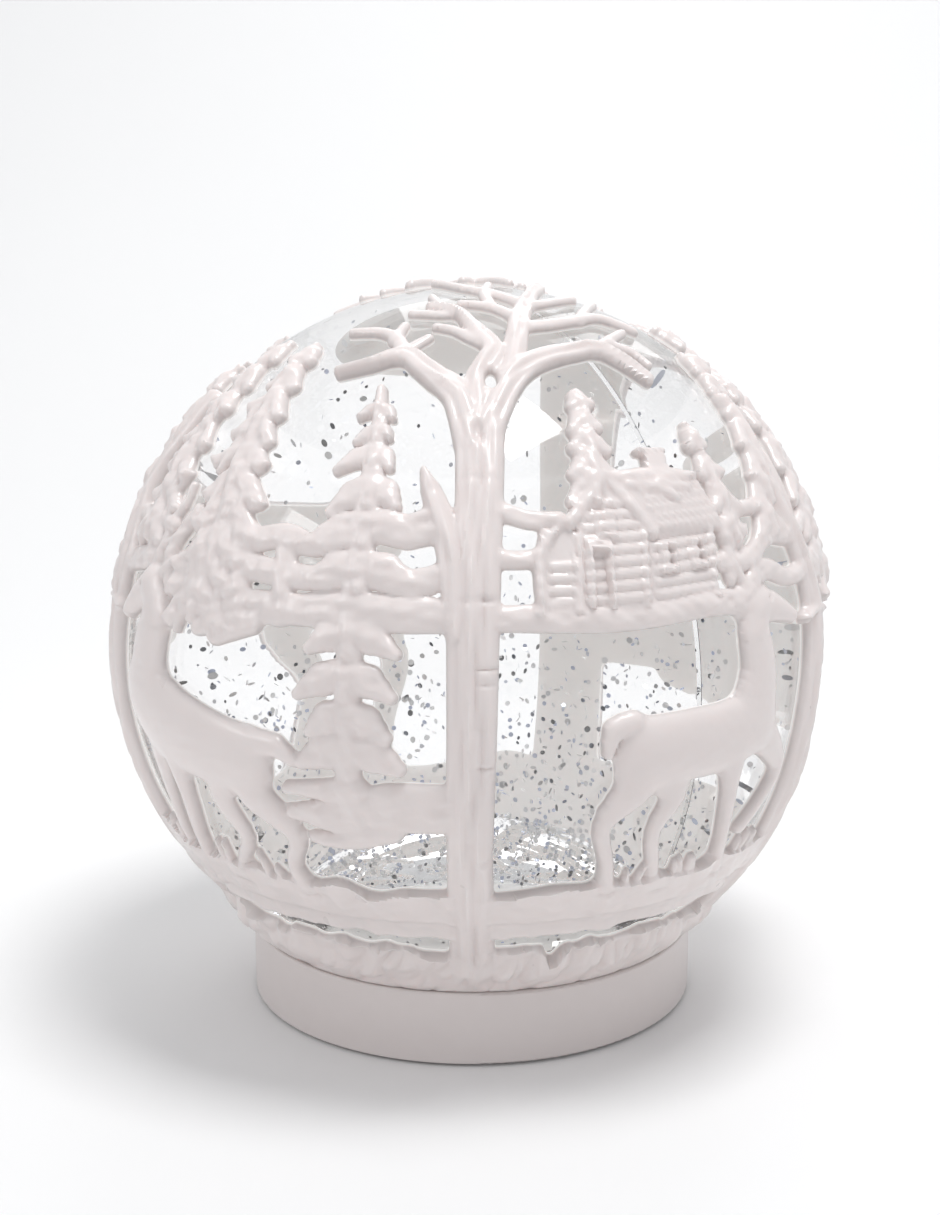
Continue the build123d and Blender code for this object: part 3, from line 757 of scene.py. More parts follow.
    def press(self, outline: Places, amount: float, soft: float = 0.35) -> None:
        """Raise or sink what lies inside a convex outline.

        Args:
            outline: (turn, height) corners, anticlockwise.
            amount: Height added, mm; negative sinks it.
            soft: Width of the slope at the outline, mm.
        """
        at, inside = self.within(outline, self.press_margin)
        self.rise[at] += amount * np.clip(inside / soft + 0.5, 0.0, 1.0)

    def hole(self, turn: float, height: float, half_w: float, half_h: float) -> None:
        """Open an oval hole right through.

        Args:
            turn: Turn of its middle.
            height: Height of its middle.
            half_w: Half width, mm.
            half_h: Half height, mm.
        """
        at, u, v = self.local(turn, height, max(half_w, half_h) + 5.0)
        span = np.sqrt((u / half_w) ** 2 + (v / half_h) ** 2)
        outside = (span - 1.0) * min(half_w, half_h)
        self.depth[at] = np.minimum(self.depth[at], outside)
        rim = np.clip(outside / 0.9, 0.0, 1.0)
        self.rise[at] = self.edge + (self.rise[at] - self.edge) * np.sqrt(1.0 - (1.0 - rim) ** 2)

    def dent(self, turn: float, height: float, half_w: float, half_h: float, deep: float) -> None:
        """Sink or raise an oval spot without opening it.

        Args:
            turn: Turn of its middle.
            height: Height of its middle.
            half_w: Half width, mm.
            half_h: Half height, mm.
            deep: How far it sinks, mm; negative raises it.
        """
        at, u, v = self.local(turn, height, max(half_w, half_h) * 2.0)
        span = (u / half_w) ** 2 + (v / half_h) ** 2
        self.rise[at] -= deep * np.exp(-span * span)

    def inner_radius(self, height: np.ndarray) -> np.ndarray:
        """Inside radius of the skin: clear of the globe, and of its flange lower down.

        Args:
            height: Heights in degrees.

        Returns:
            Radii in millimetres.
        """
        step = np.clip((self.flange_from - height) / self.flange_over, 0.0, 1.0)
        return self.globe_r + self.gap + self.flange_step * step * step * (3.0 - 2.0 * step)

    def cut_out(self, part: Part) -> tuple[np.ndarray, np.ndarray]:
        """Cut the skin along its outline and close it.

        Args:
            part: Which part.

        Returns:
            Points in millimetres about the row origin, and triangles.
        """
        depth, tris = self.depth, self.tris
        inside = depth > 0.0
        count = inside[tris].sum(axis=1)
        whole = tris[count == 3]
        ones, twos = tris[count == 1], tris[count == 2]
        pick1 = np.argmax(inside[ones], axis=1)
        pick2 = np.argmax(~inside[twos], axis=1)
        rows1, rows2 = np.arange(len(ones)), np.arange(len(twos))
        p, q, r = (ones[rows1, (pick1 + k) % 3] for k in range(3))
        o, s, t = (twos[rows2, (pick2 + k) % 3] for k in range(3))
        edges = np.concatenate([np.stack(e, 1) for e in ((p, q), (p, r), (o, s), (o, t))])
        ordered = np.sort(edges, axis=1)
        unique, number = np.unique(ordered, axis=0, return_inverse=True)
        number = number.reshape(-1) + len(self.dirs)
        pq, pr, os_, ot = np.split(number, np.cumsum([len(p), len(p), len(o)]))
        d0, d1 = depth[unique[:, 0]], depth[unique[:, 1]]
        w = (d0 / (d0 - d1))[:, None]
        cut_dirs = self.dirs[unique[:, 0]] * (1 - w) + self.dirs[unique[:, 1]] * w
        cut_dirs /= np.linalg.norm(cut_dirs, axis=1, keepdims=True)
        dirs = np.vstack([self.dirs, cut_dirs])
        rise = np.clip(self.rise, self.edge * 0.8, self.highest)
        rise = np.concatenate([rise, np.full(len(unique), self.edge * 0.9)])
        kept = np.concatenate(
            [whole, np.stack([p, pq, pr], 1), np.stack([os_, s, t], 1), np.stack([os_, t, ot], 1)]
        )
        middle = dirs[kept].mean(axis=1)
        side, storey = part.value
        shelf = math.sin(math.radians(self.shelf))
        kept = kept[(middle[:, 1] * side > 0) & ((middle[:, 2] - shelf) * storey > 0)]
        used = np.unique(kept)
        renumber = np.full(len(dirs), -1)
        renumber[used] = np.arange(len(used))
        kept, dirs, rise = renumber[kept], dirs[used], rise[used]
        base = self.inner_radius(np.degrees(np.arcsin(dirs[:, 2])))
        inner, outer = dirs * base[:, None], dirs * (base + rise)[:, None]
        for shell in (inner, outer):
            shell[:, 2] = np.clip(shell[:, 2] + self.globe_z, self.foot_z, self.top_z)
        count = len(dirs)
        directed = np.concatenate([kept[:, [0, 1]], kept[:, [1, 2]], kept[:, [2, 0]]])
        code = directed[:, 0].astype(np.int64) * count + directed[:, 1]
        back = directed[:, 1].astype(np.int64) * count + directed[:, 0]
        rim = directed[~np.isin(code, back)]
        i, j = rim[:, 0], rim[:, 1]
        walls = np.concatenate(
            [np.stack([i, i + count, j + count], 1), np.stack([i, j + count, j], 1)]
        )
        faces = np.concatenate([kept, kept[:, ::-1] + count, walls])
        return np.vstack([outer, inner]), faces


@dataclass(frozen=True)
class Tier:
    """One storey of a pine: where its two boughs spring and where each ends, in degrees."""

    root: tuple[float, float]
    left: tuple[float, float]
    right: tuple[float, float]
    half: float


@dataclass
class WinterWood:
    """The moulded wood: what stands where on the overlay, in degrees and millimetres."""

    moulding: Moulding
    trunk_half: float = 4.7
    trunk_rise: float = 3.25
    bough_rise: float = 2.4
    rear_turn: float = 169.0
    draw: np.random.Generator = field(default_factory=lambda: np.random.default_rng(11))

    def limb(self, base: float, places: Places, thick: float, thin: float, rise: float) -> None:
        """A bare limb, given in turns from its own tree.

        Args:
            base: The tree's turn.
            places: (turn, height) from the tree.
            thick: Half width at its start, mm.
            thin: Half width at its end, mm.
            rise: How proud it stands, mm.
        """
        moved = [(base + t, h) for t, h in places]
        self.moulding.stroke(moved, [thick, thin], rise, Surface.BARK if thick > 2.4 else Surface.PLAIN)

    def bare_tree(self, base: float) -> None:
        """The tall bare tree whose crown spreads over the top of the globe.

        Args:
            base: Turn added to every place, in degrees.
        """
        w, r = self.trunk_half, self.trunk_rise
        trunk = [(base, -56), (base, -40), (base - 0.3, -20), (base, 0), (base + 0.3, 20),
                 (base + 1.2, 32), (base + 1.6, 44)]
        self.moulding.stroke(trunk, [w, w - 0.2, w - 0.3, w, w + 0.3, w - 0.2, w], r, Surface.BARK)
        limbs = [
            ([(0.2, 42), (-3, 50), (-8, 53), (-13, 55.6), (-19, 58), (-27, 55.5), (-34, 53.4)],
             3.7, 1.5, 3.3),
            ([(-19.5, 57.5), (-23, 61.5), (-31, 63.5), (-43, 62.8)], 1.8, 1.1, 2.2),
            ([(-25, 61.5), (-25.5, 66)], 1.3, 1.0, 1.9),
            ([(-20, 58.5), (-17, 61), (-14, 62.8)], 1.5, 1.0, 1.9),
            ([(1.5, 44), (1.0, 52), (4.5, 57.5), (6.5, 60), (3.5, 63.5), (-1.0, 67), (-6, 70.5), (-20, 72)],
             3.0, 1.3, 2.8),
            ([(5, 61), (-1, 63.2), (-6, 65), (-13, 65.8)], 1.6, 1.0, 2.0),
            ([(-7, 70.5), (-14, 69.8), (-27, 69.8)], 1.4, 1.0, 1.9),
            ([(-14, 72), (-27, 76.5)], 1.2, 1.0, 1.9),
            ([(2.5, 44), (7.5, 51.5), (13, 55.3), (20, 57.2), (30, 58.3), (38.5, 58), (46, 51)],
             3.7, 1.5, 3.3),
            ([(37, 58.2), (47, 60.5), (58, 61.8)], 1.6, 1.0, 2.0),
            ([(45, 60), (51, 57), (52, 54)], 1.3, 1.0, 1.9),
            ([(8, 52), (10.5, 56.5), (14, 62), (19.5, 68), (30, 73.5), (45, 77), (75, 79)], 2.9, 1.4, 2.6),
            ([(17.5, 66), (28, 66), (43, 66.6), (58, 66.4), (66, 61.5)], 1.7, 1.1, 2.1),
            ([(45, 66.6), (62, 69.5), (76, 70)], 1.3, 1.0, 1.9),
            ([(26, 72), (48, 73.4), (70, 73)], 1.3, 1.0, 1.9),
            ([(19.5, 68), (15, 71), (8, 73), (-6, 74)], 1.6, 1.0, 2.0),
            ([(10, 73), (10, 79), (25, 84)], 1.4, 1.1, 2.0),
            ([(28, 73.5), (20, 78), (-10, 82), (-70, 84)], 1.5, 1.1, 2.0),
        ]
        for places, thick, thin, rise in limbs:
            self.limb(base, places, thick, thin, rise)
        self.moulding.stroke(
            [(base - 8.4, 36.6), (base - 7.0, 34), (base - 5.2, 30), (base - 3.4, 24), (base - 2.6, 13)],
            [0.9, 2.0, 2.6, 2.4, 1.2], 3.3, Surface.BARK,
        )
        self.moulding.hole(base + 4.6, 53.0, 1.1, 2.3)
        self.moulding.dent(base + 1.2, 42.5, 1.0, 2.4, 1.3)
        for height in (-21.0, -5.5, 6.5, 8.5, 18.0):
            self.moulding.dent(base + 2.2, height, 2.0, 0.45, 0.5)

    def side_trunk(self, base: float) -> None:
        """A plain trunk that carries the wood's side, with its growth ring.

        Args:
            base: Turn added to every place, in degrees.
        """
        w = self.trunk_half
        places = [(base, -56), (base - 1, -30), (base - 1.5, -8),
                  (base + 1, 10), (base - 1, 26), (base + 2, 44)]
        self.moulding.stroke(places, [w, w - 0.2, w - 0.5, w - 0.4, w - 1.5, 2.0], 3.4, Surface.BARK)
        self.moulding.stroke([(base - 4, 8.6), (base, 9.4), (base + 4, 8.6)], [1.2, 1.2], 3.6)

    def pine(
        self, tip: tuple[float, float], foot: tuple[float, float], reach: tuple[float, float],
        tiers: int, lean: float = 0.0, drop: float = 0.8,
    ) -> None:
        """A snow-laden pine.

        Args:
            tip: Turn and height of its tip.
            foot: Turn and height of its lowest boughs' root.
            reach: Bough length at the tip and at the foot, mm.
            tiers: Number of tiers.
            lean: How much longer its right boughs are than its left ones, as a share.
            drop: How far boughs hang, as a share of their length.
        """
        degree = self.moulding.globe_r * math.pi / 180.0
        mid = ((tip[0] + foot[0]) / 2, (tip[1] + foot[1]) / 2)
        self.moulding.stroke([tip, mid, foot], [0.9, 2.4, 3.4], self.bough_rise - 0.2, Surface.SNOW)
        for k in range(tiers):
            share = (k + 0.6) / tiers
            turn = tip[0] + (foot[0] - tip[0]) * share
            height = tip[1] + (foot[1] - tip[1]) * share
            squeeze = 1.0 / (degree * math.cos(math.radians(height)))
            length = reach[0] + (reach[1] - reach[0]) * share**0.9
            thick = 1.45 + 0.13 * length
            for side in (-1, 1):
                span = length * (1 + side * lean) * self.draw.uniform(0.82, 1.14)
                fall = span * drop * self.draw.uniform(0.55, 1.0)
                up = self.draw.uniform(0.2, 0.9)
                places = [
                    (turn, height + 0.8),
                    (turn + side * span * 0.45 * squeeze, height - fall * 0.42 / degree),
                    (turn + side * span * 0.8 * squeeze, height - fall * 0.9 / degree),
                    (turn + side * span * squeeze, height + (up - fall) / degree),
                ]
                self.moulding.stroke(
                    places, [thick * 1.15, thick, thick * 0.8, 0.75],
                    self.bough_rise + 0.25, Surface.SNOW, 0.8,
                )
                if length > 4.5:
                    twig = [
                        places[1],
                        (turn + side * span * 0.55 * squeeze, height - (fall * 0.6 + thick * 1.5) / degree),
                    ]
                    self.moulding.stroke(twig, [thick * 0.75, 0.7], self.bough_rise, Surface.SNOW, 0.6)
            sway = self.draw.uniform(-0.6, 0.6)
            front = [(turn, height + 0.5), (turn + sway, height - (thick * 1.7) / degree)]
            self.moulding.stroke(
                front, [thick * 0.95, thick * 0.55], self.bough_rise + 0.7, Surface.SNOW, 0.5
            )

    def tier(self, base: float, tier: Tier) -> None:
        """A storey of drooping, snow-laden boughs.

        Args:
            base: Turn added to every place.
            tier: The storey.
        """
        root = (base + tier.root[0], tier.root[1])
        for end in (tier.left, tier.right):
            tip = (base + end[0], end[1])
            middle = ((root[0] + tip[0]) / 2, (root[1] + tip[1]) / 2 + 0.5)
            self.moulding.stroke(
                [root, middle, tip], [tier.half * 0.85, tier.half * 1.1, tier.half * 0.45],
                self.bough_rise + 0.1, Surface.SNOW, 0.7,
            )
        drop = (root[0] + 0.2, root[1] - tier.half * 1.1)
        self.moulding.stroke(
            [root, drop], [tier.half * 0.7, tier.half * 0.55], self.bough_rise + 0.5, Surface.SNOW, 0.5
        )

    def near_pine(self, base: float) -> None:
        """The pine beside the trunk, storey by storey.

        Args:
            base: Turn added to every place, in degrees.
        """
        self.moulding.stroke(
            [(base + t, h) for t, h in ((-20.9, 50.6), (-18.6, 43), (-17.4, 30), (-17.8, 5), (-18, -9))],
            [1.1, 1.8, 2.6, 2.6, 2.6], self.bough_rise - 0.1, Surface.SNOW,
        )
        storeys = [
            Tier((-19.8, 47.0), (-23.4, 45.0), (-16.0, 45.2), 1.5),
            Tier((-18.8, 43.0), (-22.4, 40.8), (-15.8, 41.8), 1.6),
            Tier((-18.2, 39.8), (-24.4, 36.0), (-14.6, 37.0), 2.1),
            Tier((-17.5, 34.4), (-23.6, 29.8), (-12.6, 31.2), 2.8),
            Tier((-17.2, 28.6), (-26.0, 25.4), (-10.0, 27.6), 2.8),
            Tier((-17.2, 22.6), (-25.0, 20.0), (-9.0, 20.4), 3.0),
            Tier((-18.0, 13.4), (-23.9, 10.2), (-10.8, 10.2), 2.9),
            Tier((-18.2, 7.4), (-25.4, 3.6), (-11.4, 4.0), 3.0),
            Tier((-18.0, 1.4), (-23.6, -1.6), (-12.2, -1.8), 3.1),
            Tier((-17.8, -3.4), (-25.0, -6.6), (-10.4, -6.4), 3.5),
        ]
        for storey in storeys:
            self.tier(base, storey)

    def bank(self, places: Places, half: float, rise: float = 2.3) -> None:
        """A drift of snow along a run.

        Args:
            places: (turn, height) in degrees.
            half: Half width, mm.
            rise: How proud it stands, mm.
        """
        self.moulding.stroke(places, [half, half * 1.15, half * 0.95, half * 1.1, half], rise, Surface.SNOW)

    def animal(self, base: float, strokes: list[tuple[Places, list[float], float]]) -> None:
        """Join an animal's body and legs with soft fillets.

        Args:
            base: Turn added to every place.
            strokes: Each one's places, half widths in mm and rise in mm.
        """
        for places, widths, rise in strokes:
            self.moulding.stroke([(base + t, h) for t, h in places], widths, rise, Surface.FUR, 2.2)

    def buck(self, base: float) -> None:
        """The antlered buck, facing left.

        Args:
            base: Turn added to every place, in degrees.
        """
        self.animal(base, [
            ([(-58, -9), (-57.5, -18), (-59, -27), (-59.5, -35)], [4.0, 2.0, 1.5, 1.9], 2.2),
            ([(-53.0, -8), (-51.0, -17), (-52.0, -25), (-53.5, -34)], [4.2, 2.1, 1.6, 2.0], 2.8),
            ([(-40, -9), (-42, -15), (-38.5, -21.5), (-42, -27), (-43, -32.5)],
             [6.0, 3.2, 1.7, 1.5, 1.9], 2.3),
            ([(-36, -8), (-34.5, -13), (-28, -18.8), (-29.8, -25), (-27.4, -31.5)],
             [6.4, 4.4, 2.1, 1.6, 2.1], 3.0),
            ([(-60, -2), (-53, -5.5), (-45, -7.0), (-36.5, -8.0)], [8.0, 9.2, 8.2, 7.4], 3.6),
            ([(-58.5, -4), (-58.5, 4), (-57, 10), (-59.5, 14.5)], [8.2, 6.6, 5.2, 3.8], 3.3),
            ([(-59.5, 14.5), (-63.5, 12.2), (-67.2, 9.0)], [4.3, 3.2, 2.0], 3.2),
            ([(-57.5, 16), (-53.5, 19.5)], [1.7, 0.7], 2.4),
            ([(-33.5, -5), (-29.5, -4.7), (-26.5, -6.5)], [3.0, 2.4, 1.3], 2.9),
        ])
        antlers = [
            ([(-60, 17.5), (-59, 22), (-61.5, 27), (-66, 31.5)], 1.5, 0.9),
            ([(-60, 23.5), (-57, 27), (-57, 30.5)], 1.2, 0.8),
            ([(-62.5, 28), (-60, 32)], 1.1, 0.8),
            ([(-61.5, 17.5), (-65, 20.5), (-67.5, 25)], 1.3, 0.9),
            ([(-59, 20.5), (-55.5, 22.5)], 1.1, 0.8),
        ]
        for places, thick, thin in antlers:
            self.moulding.stroke([(base + t, h) for t, h in places], [thick, thin], 2.1)
        self.moulding.dent(base - 61.5, 14.0, 0.6, 0.5, 0.5)
        self.hooves(base, [(-59.5, -35.5), (-54, -34.8), (-43, -33), (-27.4, -32)])

    def doe(self, base: float) -> None:
        """The doe stepping to the right, one foreleg raised.

        Args:
            base: Turn added to every place, in degrees.
        """
        self.animal(base, [
            ([(42.5, -7), (43, -14), (44.5, -22), (48, -32)], [4.2, 2.1, 1.5, 1.9], 2.9),
            ([(48, -5), (55.5, -12.8), (53, -18), (49.5, -22.5)], [4.6, 2.2, 1.5, 1.7], 2.6),
            ([(30, -8), (31.5, -13), (29, -18.5), (31, -26), (33, -32)], [5.4, 3.0, 1.7, 1.5, 1.9], 2.3),
            ([(26.5, -6.5), (24, -11), (19.8, -16), (21.5, -23), (23, -30.5)],
             [6.2, 4.2, 1.9, 1.6, 2.1], 3.0),
            ([(26.5, -5.5), (33, -5.3), (40, -5.2), (46.5, -4.2)], [7.4, 7.2, 7.3, 7.0], 3.6),
            ([(46.5, -3), (47.6, 4), (47, 9.5), (47.8, 12.5)], [7.0, 5.0, 4.3, 3.8], 3.3),
            ([(47.8, 13.2), (52, 12.4), (57, 10.2)], [3.9, 3.2, 1.9], 3.2),
            ([(46.6, 15.5), (44.2, 20.2)], [1.8, 0.7], 2.5),
            ([(48.8, 16), (48.6, 21)], [1.7, 0.7], 2.3),
            ([(23.5, -0.5), (20.5, -1.2), (19.6, -4.6)], [2.4, 2.3, 1.2], 2.8),
        ])
        self.moulding.dent(base + 50.5, 13.8, 0.6, 0.5, 0.5)
        self.hooves(base, [(48, -32.6), (33, -32.6), (23, -31)])

    def hooves(self, base: float, places: Places) -> None:
        """The step above each hoof.

        Args:
            base: Turn added to every place, in degrees.
            places: (turn, height) of each hoof.
        """
        for turn, height in places:
            self.moulding.dent(base + turn, height + 2.2, 2.6, 0.4, 0.45)

    def cabin(self, base: float) -> None:
        """The log cabin: gable front, side wall, roof, lean-to and chimney.

        Args:
            base: Turn added to every place, in degrees.
        """

        def at(*places: tuple[float, float]) -> Places:
            """Move places to the tree's turn.

            Args:
                places: (turn, height) from the tree.

            Returns:
                The moved places.
            """
            return [(base + t, h) for t, h in places]

        m = self.moulding
        m.flat(at((9.4, 16.0), (15.8, 16.0), (16.4, 28.8), (12.6, 27.6), (9.8, 24.6)), 1.5)
        m.flat(at((15.2, 15.6), (26.6, 15.2), (28.7, 27.0), (23.0, 33.6), (16.8, 29.6)), 1.9)
        m.flat(at((26.2, 15.4), (39.4, 15.6), (42.0, 25.6), (28.9, 27.4)), 1.6)
        m.flat(at((31.2, 33.0), (36.2, 33.0), (37.6, 38.0), (32.6, 38.4)), 2.5)
        self.logs(base, 11.0, 15.0, 16.8, 22.8)
        self.logs(base, 16.6, 27.2, 16.8, 31.2)
        self.logs(base, 28.2, 40.4, 16.8, 25.4)
        m.press(at((17.2, 16.4), (21.2, 16.2), (21.9, 25.4), (17.6, 25.6)), 1.1)
        m.press(at((18.2, 16.4), (20.4, 16.3), (20.9, 24.2), (18.6, 24.4)), -1.7)
        m.press(at((19.8, 26.2), (23.0, 26.0), (23.4, 29.6), (20.0, 29.8)), 0.7)
        for left in (29.6, 35.4):
            m.press(at((left, 20.4), (left + 3.2, 20.4), (left + 3.8, 24.4), (left + 0.5, 24.6)), 0.8)
            m.press(at((left + 1.7, 20.9), (left + 2.9, 20.9), (left + 3.3, 24.0), (left + 2.1, 24.1)), -0.7)
            for low in (21.3, 22.8):
                m.dent(base + left + 2.6, low + 0.5, 0.5, 0.6, 0.8)
        for foot, head in ((15.6, 16.6), (26.4, 28.2), (39.4, 41.6), (9.8, 10.2)):
            m.press(at((foot - 0.6, 15.8), (foot + 0.6, 15.8), (head + 0.6, 27.0), (head - 0.6, 27.0)), 0.6)
        m.flat(at((29.6, 25.9), (44.2, 25.0), (43.8, 28.2), (41.4, 34.2), (23.6, 34.6)), 2.6, round_edge=0.8)
        self.shingles(base)
        snow = Surface.SNOW
        m.stroke(at((15.8, 28.6), (19.6, 32.2), (23.0, 35.0)), [1.5, 1.6], 3.3, snow, 0.4)
        m.stroke(at((23.0, 35.0), (26.4, 31.0), (29.6, 26.2)), [1.6, 1.5], 3.3, snow, 0.4)
        m.stroke(at((10.0, 24.0), (12.2, 26.6), (14.4, 28.6), (16.6, 29.2)), [0.9, 1.1], 2.4, snow, 0.4)
        m.stroke(at((23.6, 34.9), (30.0, 34.7), (36.0, 34.2), (41.0, 33.6)),
                 [1.2, 1.9, 2.3, 1.0], 3.4, snow, 0.6)
        m.stroke(at((27.0, 33.4), (32.6, 32.6), (35.6, 30.6)), [1.4, 2.0, 1.2], 3.4, snow, 0.6)
        m.stroke(at((33.0, 33.2), (38.6, 32.0)), [2.0, 1.2], 3.4, snow, 0.6)
        m.stroke(at((31.8, 38.6), (37.4, 38.2)), [0.8, 0.8], 2.8, snow, 0.3)

    def logs(self, base: float, left: float, right: float, low: float, high: float) -> None:
        """Rows of rounded logs on a wall.

        Args:
            base: Turn added to every place.
            left: The wall's left turn.
            right: Its right turn.
            low: Height of the first log's middle.
            high: Height that the logs stay under.
        """
        m = self.moulding
        pitch = 1.7
        while low < high:
            lean = (low - 16.0) * 0.16
            start = base + left + lean * 0.6
            end = base + min(right + lean, right + 1.8)
            if right < 28:
                end = min(end, base + 23.0 + (33.6 - low) * 0.95)
                start = max(start, base + 23.0 - (33.6 - low) * 1.5)
            top = low + pitch * 0.62
            m.press([(start, low), (end, low), (end, top), (start, top)], 0.5, 0.6)
            low += pitch

    def shingles(self, base: float) -> None:
        """Rows of shingles on the roof's right slope.

        Args:
            base: Turn added to every place, in degrees.
        """
        for row in range(6):
            low = 26.5 + row * 1.35
            for k in range(11):
                turn = 30.6 + k * 1.3 + 0.65 * (row % 2) - row * 0.55
                if turn < 43.2 - row * 0.35:
                    corners = [(turn, low), (turn + 0.95, low), (turn + 0.95, low + 0.9), (turn, low + 0.9)]
                    self.moulding.press([(base + t, h) for t, h in corners], 0.36, 0.5)

    def lattice(self, base: float) -> None:
        """Boughs and drifts that tie the pines, the cabin and the trunks together.

        Args:
            base: Turn added to every place, in degrees.
        """
        drift = self.bank
        left = [
            ([(-3, 15.8), (-10, 15.8), (-18, 16.0), (-26, 15.4), (-34, 15.0), (-42, 13.6), (-52, 16)], 3.2),
            ([(-4, 21.6), (-9, 20.2), (-16, 21.4), (-24, 20.2), (-33, 20.4), (-42, 21.0), (-50, 20)], 2.5),
            ([(-5, 28.2), (-10, 27.0), (-16, 27.6), (-25, 24.8), (-31, 25.8), (-38, 24.4), (-44, 26)], 2.4),
            ([(-29.5, 14.5), (-29.6, 20), (-30.4, 25.4)], 2.4),
            ([(-37.6, 14), (-38.2, 20), (-39, 25)], 2.9),
            ([(-34, 12.6), (-41, 10.0)], 2.2),
            ([(-38, 12.6), (-45, 10.6)], 2.0),
            ([(-46, 14), (-45, 21), (-42, 26)], 2.6),
            ([(-54, 15), (-56, 20), (-52, 27)], 1.8),
            ([(-60, 19), (-68, 17), (-78, 15), (-90, 16), (-104, 16)], 2.3),
            ([(-58, 24), (-68, 24), (-80, 23), (-92, 24)], 1.7),
            ([(-6.4, 30.4), (-10, 29.0), (-14, 29.4)], 1.7),
        ]
        right = [
            ([(3.5, 15.4), (12, 15.2), (20, 14.6), (28, 14.6), (38, 15.0), (46, 14.0)], 2.5),
            ([(45, 13.6), (50, 14.2)], 2.6),
            ([(44, 14.5), (52, 18), (60, 15.5), (72, 16), (92, 16)], 2.0),
            ([(4.5, 30.9), (9, 29.4), (14, 29.0)], 1.9),
            ([(4.3, 23.8), (7, 23.6), (10.5, 23.8)], 1.9),
            ([(10.4, 17), (10.2, 22), (11.6, 27)], 1.3),
            ([(42, 20.5), (49, 20.0), (56, 22.5), (66, 21), (80, 23), (92, 24)], 1.9),
            ([(44, 25.5), (50, 27.5), (58, 27)], 1.8),
            ([(43.5, 18), (44.5, 23)], 1.6),
        ]
        for places, half in left + right:
            drift([(base + t, h) for t, h in places], half, 2.3)

    def fallen_log(self, base: float) -> None:
        """The snow-covered log and stump beside the trunk.

        Args:
            base: Turn added to every place, in degrees.
        """
        places = [(base + t, h) for t, h in ((-3, -12.5), (-12, -12.8), (-20, -14.5), (-27.5, -14.8))]
        self.moulding.stroke(places, [5.2, 5.4, 4.2, 1.6], 2.6, Surface.SNOW)
        self.moulding.stroke(
            [(base - 12, -16.5), (base - 18, -18.5), (base - 24.5, -18.8)], [2.6, 2.2, 1.4], 2.4, Surface.SNOW
        )
        self.moulding.stroke([(base - 17, -10.2), (base - 27.8, -10.8)], [3.0, 1.3], 2.7, Surface.SNOW)

    def side(self, base: float) -> None:
        """Everything between one bare tree and the next, left and right of it.

        Args:
            base: Turn added to every place, in degrees.
        """
        self.lattice(base)
        self.near_pine(base)
        self.pine((base - 51, 58.5), (base - 44, 27), (2.6, 9.5), 7)
        self.pine((base - 44, 26), (base - 46, 14), (9.5, 11.5), 3, drop=0.8)
        self.pine((base - 66, 58), (base - 66, 22), (2.4, 8.0), 7)
        self.pine((base - 84, 50), (base - 82, 10), (2.4, 8.0), 7)
        self.pine((base + 24, 50), (base + 20.5, 33), (2.0, 5.2), 5)
        self.pine((base + 47, 42), (base + 46.5, 24), (2.2, 4.4), 4)
        self.pine((base + 76, 54), (base + 57, 24), (2.4, 6.6), 7)
        self.pine((base + 84, 48), (base + 76, 14), (2.4, 7.6), 6)
        self.fallen_log(base)
        self.cabin(base)
        self.buck(base)
        self.doe(base)
        self.tufts(base)
        self.bare_tree(base)

    def tufts(self, base: float) -> None:
        """Grass that stands out of the snow between the legs.

        Args:
            base: Turn added to every place, in degrees.
        """
        for turn in (26.5, 28, 36.5, 38, 39.5, 41, 51.5, 53, 56, 58, -48, -46.5, -36, -33.5, -63, -66):
            height = self.draw.uniform(-26.5, -24.0)
            sway = self.draw.uniform(-1.5, 1.5)
            self.moulding.stroke(
                [(base + turn, -30), (base + turn + sway * 0.4, -28), (base + turn + sway, height)],
                [1.5, 1.1, 0.55], 2.1, Surface.PLAIN, 0.6,
            )

    def ground(self) -> None:
        """The snowy ground round the globe, with its ledge, and the rocky collar on the base."""
        m = self.moulding
        top = -27.6 + 0.9 * m.coarse.at(m.spots * np.array([1.0, 1.0, 0.2]) * 0.6)
        inside = np.minimum(top - m.height, m.height + 38.6) * 1.3
        ledge = np.clip((-33.6 - m.height + 0.5 * m.coarse.at(m.spots)) / 1.2, 0.0, 1.0)
        rise = 2.6 + 0.35 * m.coarse.at(m.spots) + 0.12 * m.fine.at(m.spots) - 1.0 * ledge
        rise += 0.5 * np.exp(-((m.height + 37.8) / 0.7) ** 2)
        near = inside > -3.0
        at = np.nonzero(near)[0]
        m.merge(at, inside[at], np.where(inside[at] > 0, rise[at], m.edge), 0.8)
        rocks = Ripples(21, 11.0)
        chips = Ripples(22, 4.5)
        flat = m.spots * np.array([1.0, 1.0, 0.55])
        brow = -43.4 + 1.3 * rocks.at(flat) + 0.8 * chips.at(flat)
        inside = (brow - m.height) * 1.3
        at = np.nonzero(inside > -3.0)[0]
        facets = np.abs(rocks.at(flat[at])) * 1.5 + np.abs(chips.at(flat[at])) * 1.0
        down = np.clip((-44.0 - m.height[at]) / 9.0, 0.0, 1.0)
        rise = 1.2 + 2.1 * down + facets * (1.0 - 0.55 * down)
        m.merge(at, inside[at], np.where(inside[at] > 0, rise, m.edge), 0.6)

    def sculpt(self) -> None:
        """Model the whole wood, front and rear."""
        self.ground()
        for base in (0.0, self.rear_turn):
            self.side(base)
            LOG.info("wood modelled from turn %.0f", base)
        for turn in (66.0, -76.0, 246.0, 104.0):
            self.side_trunk(turn)


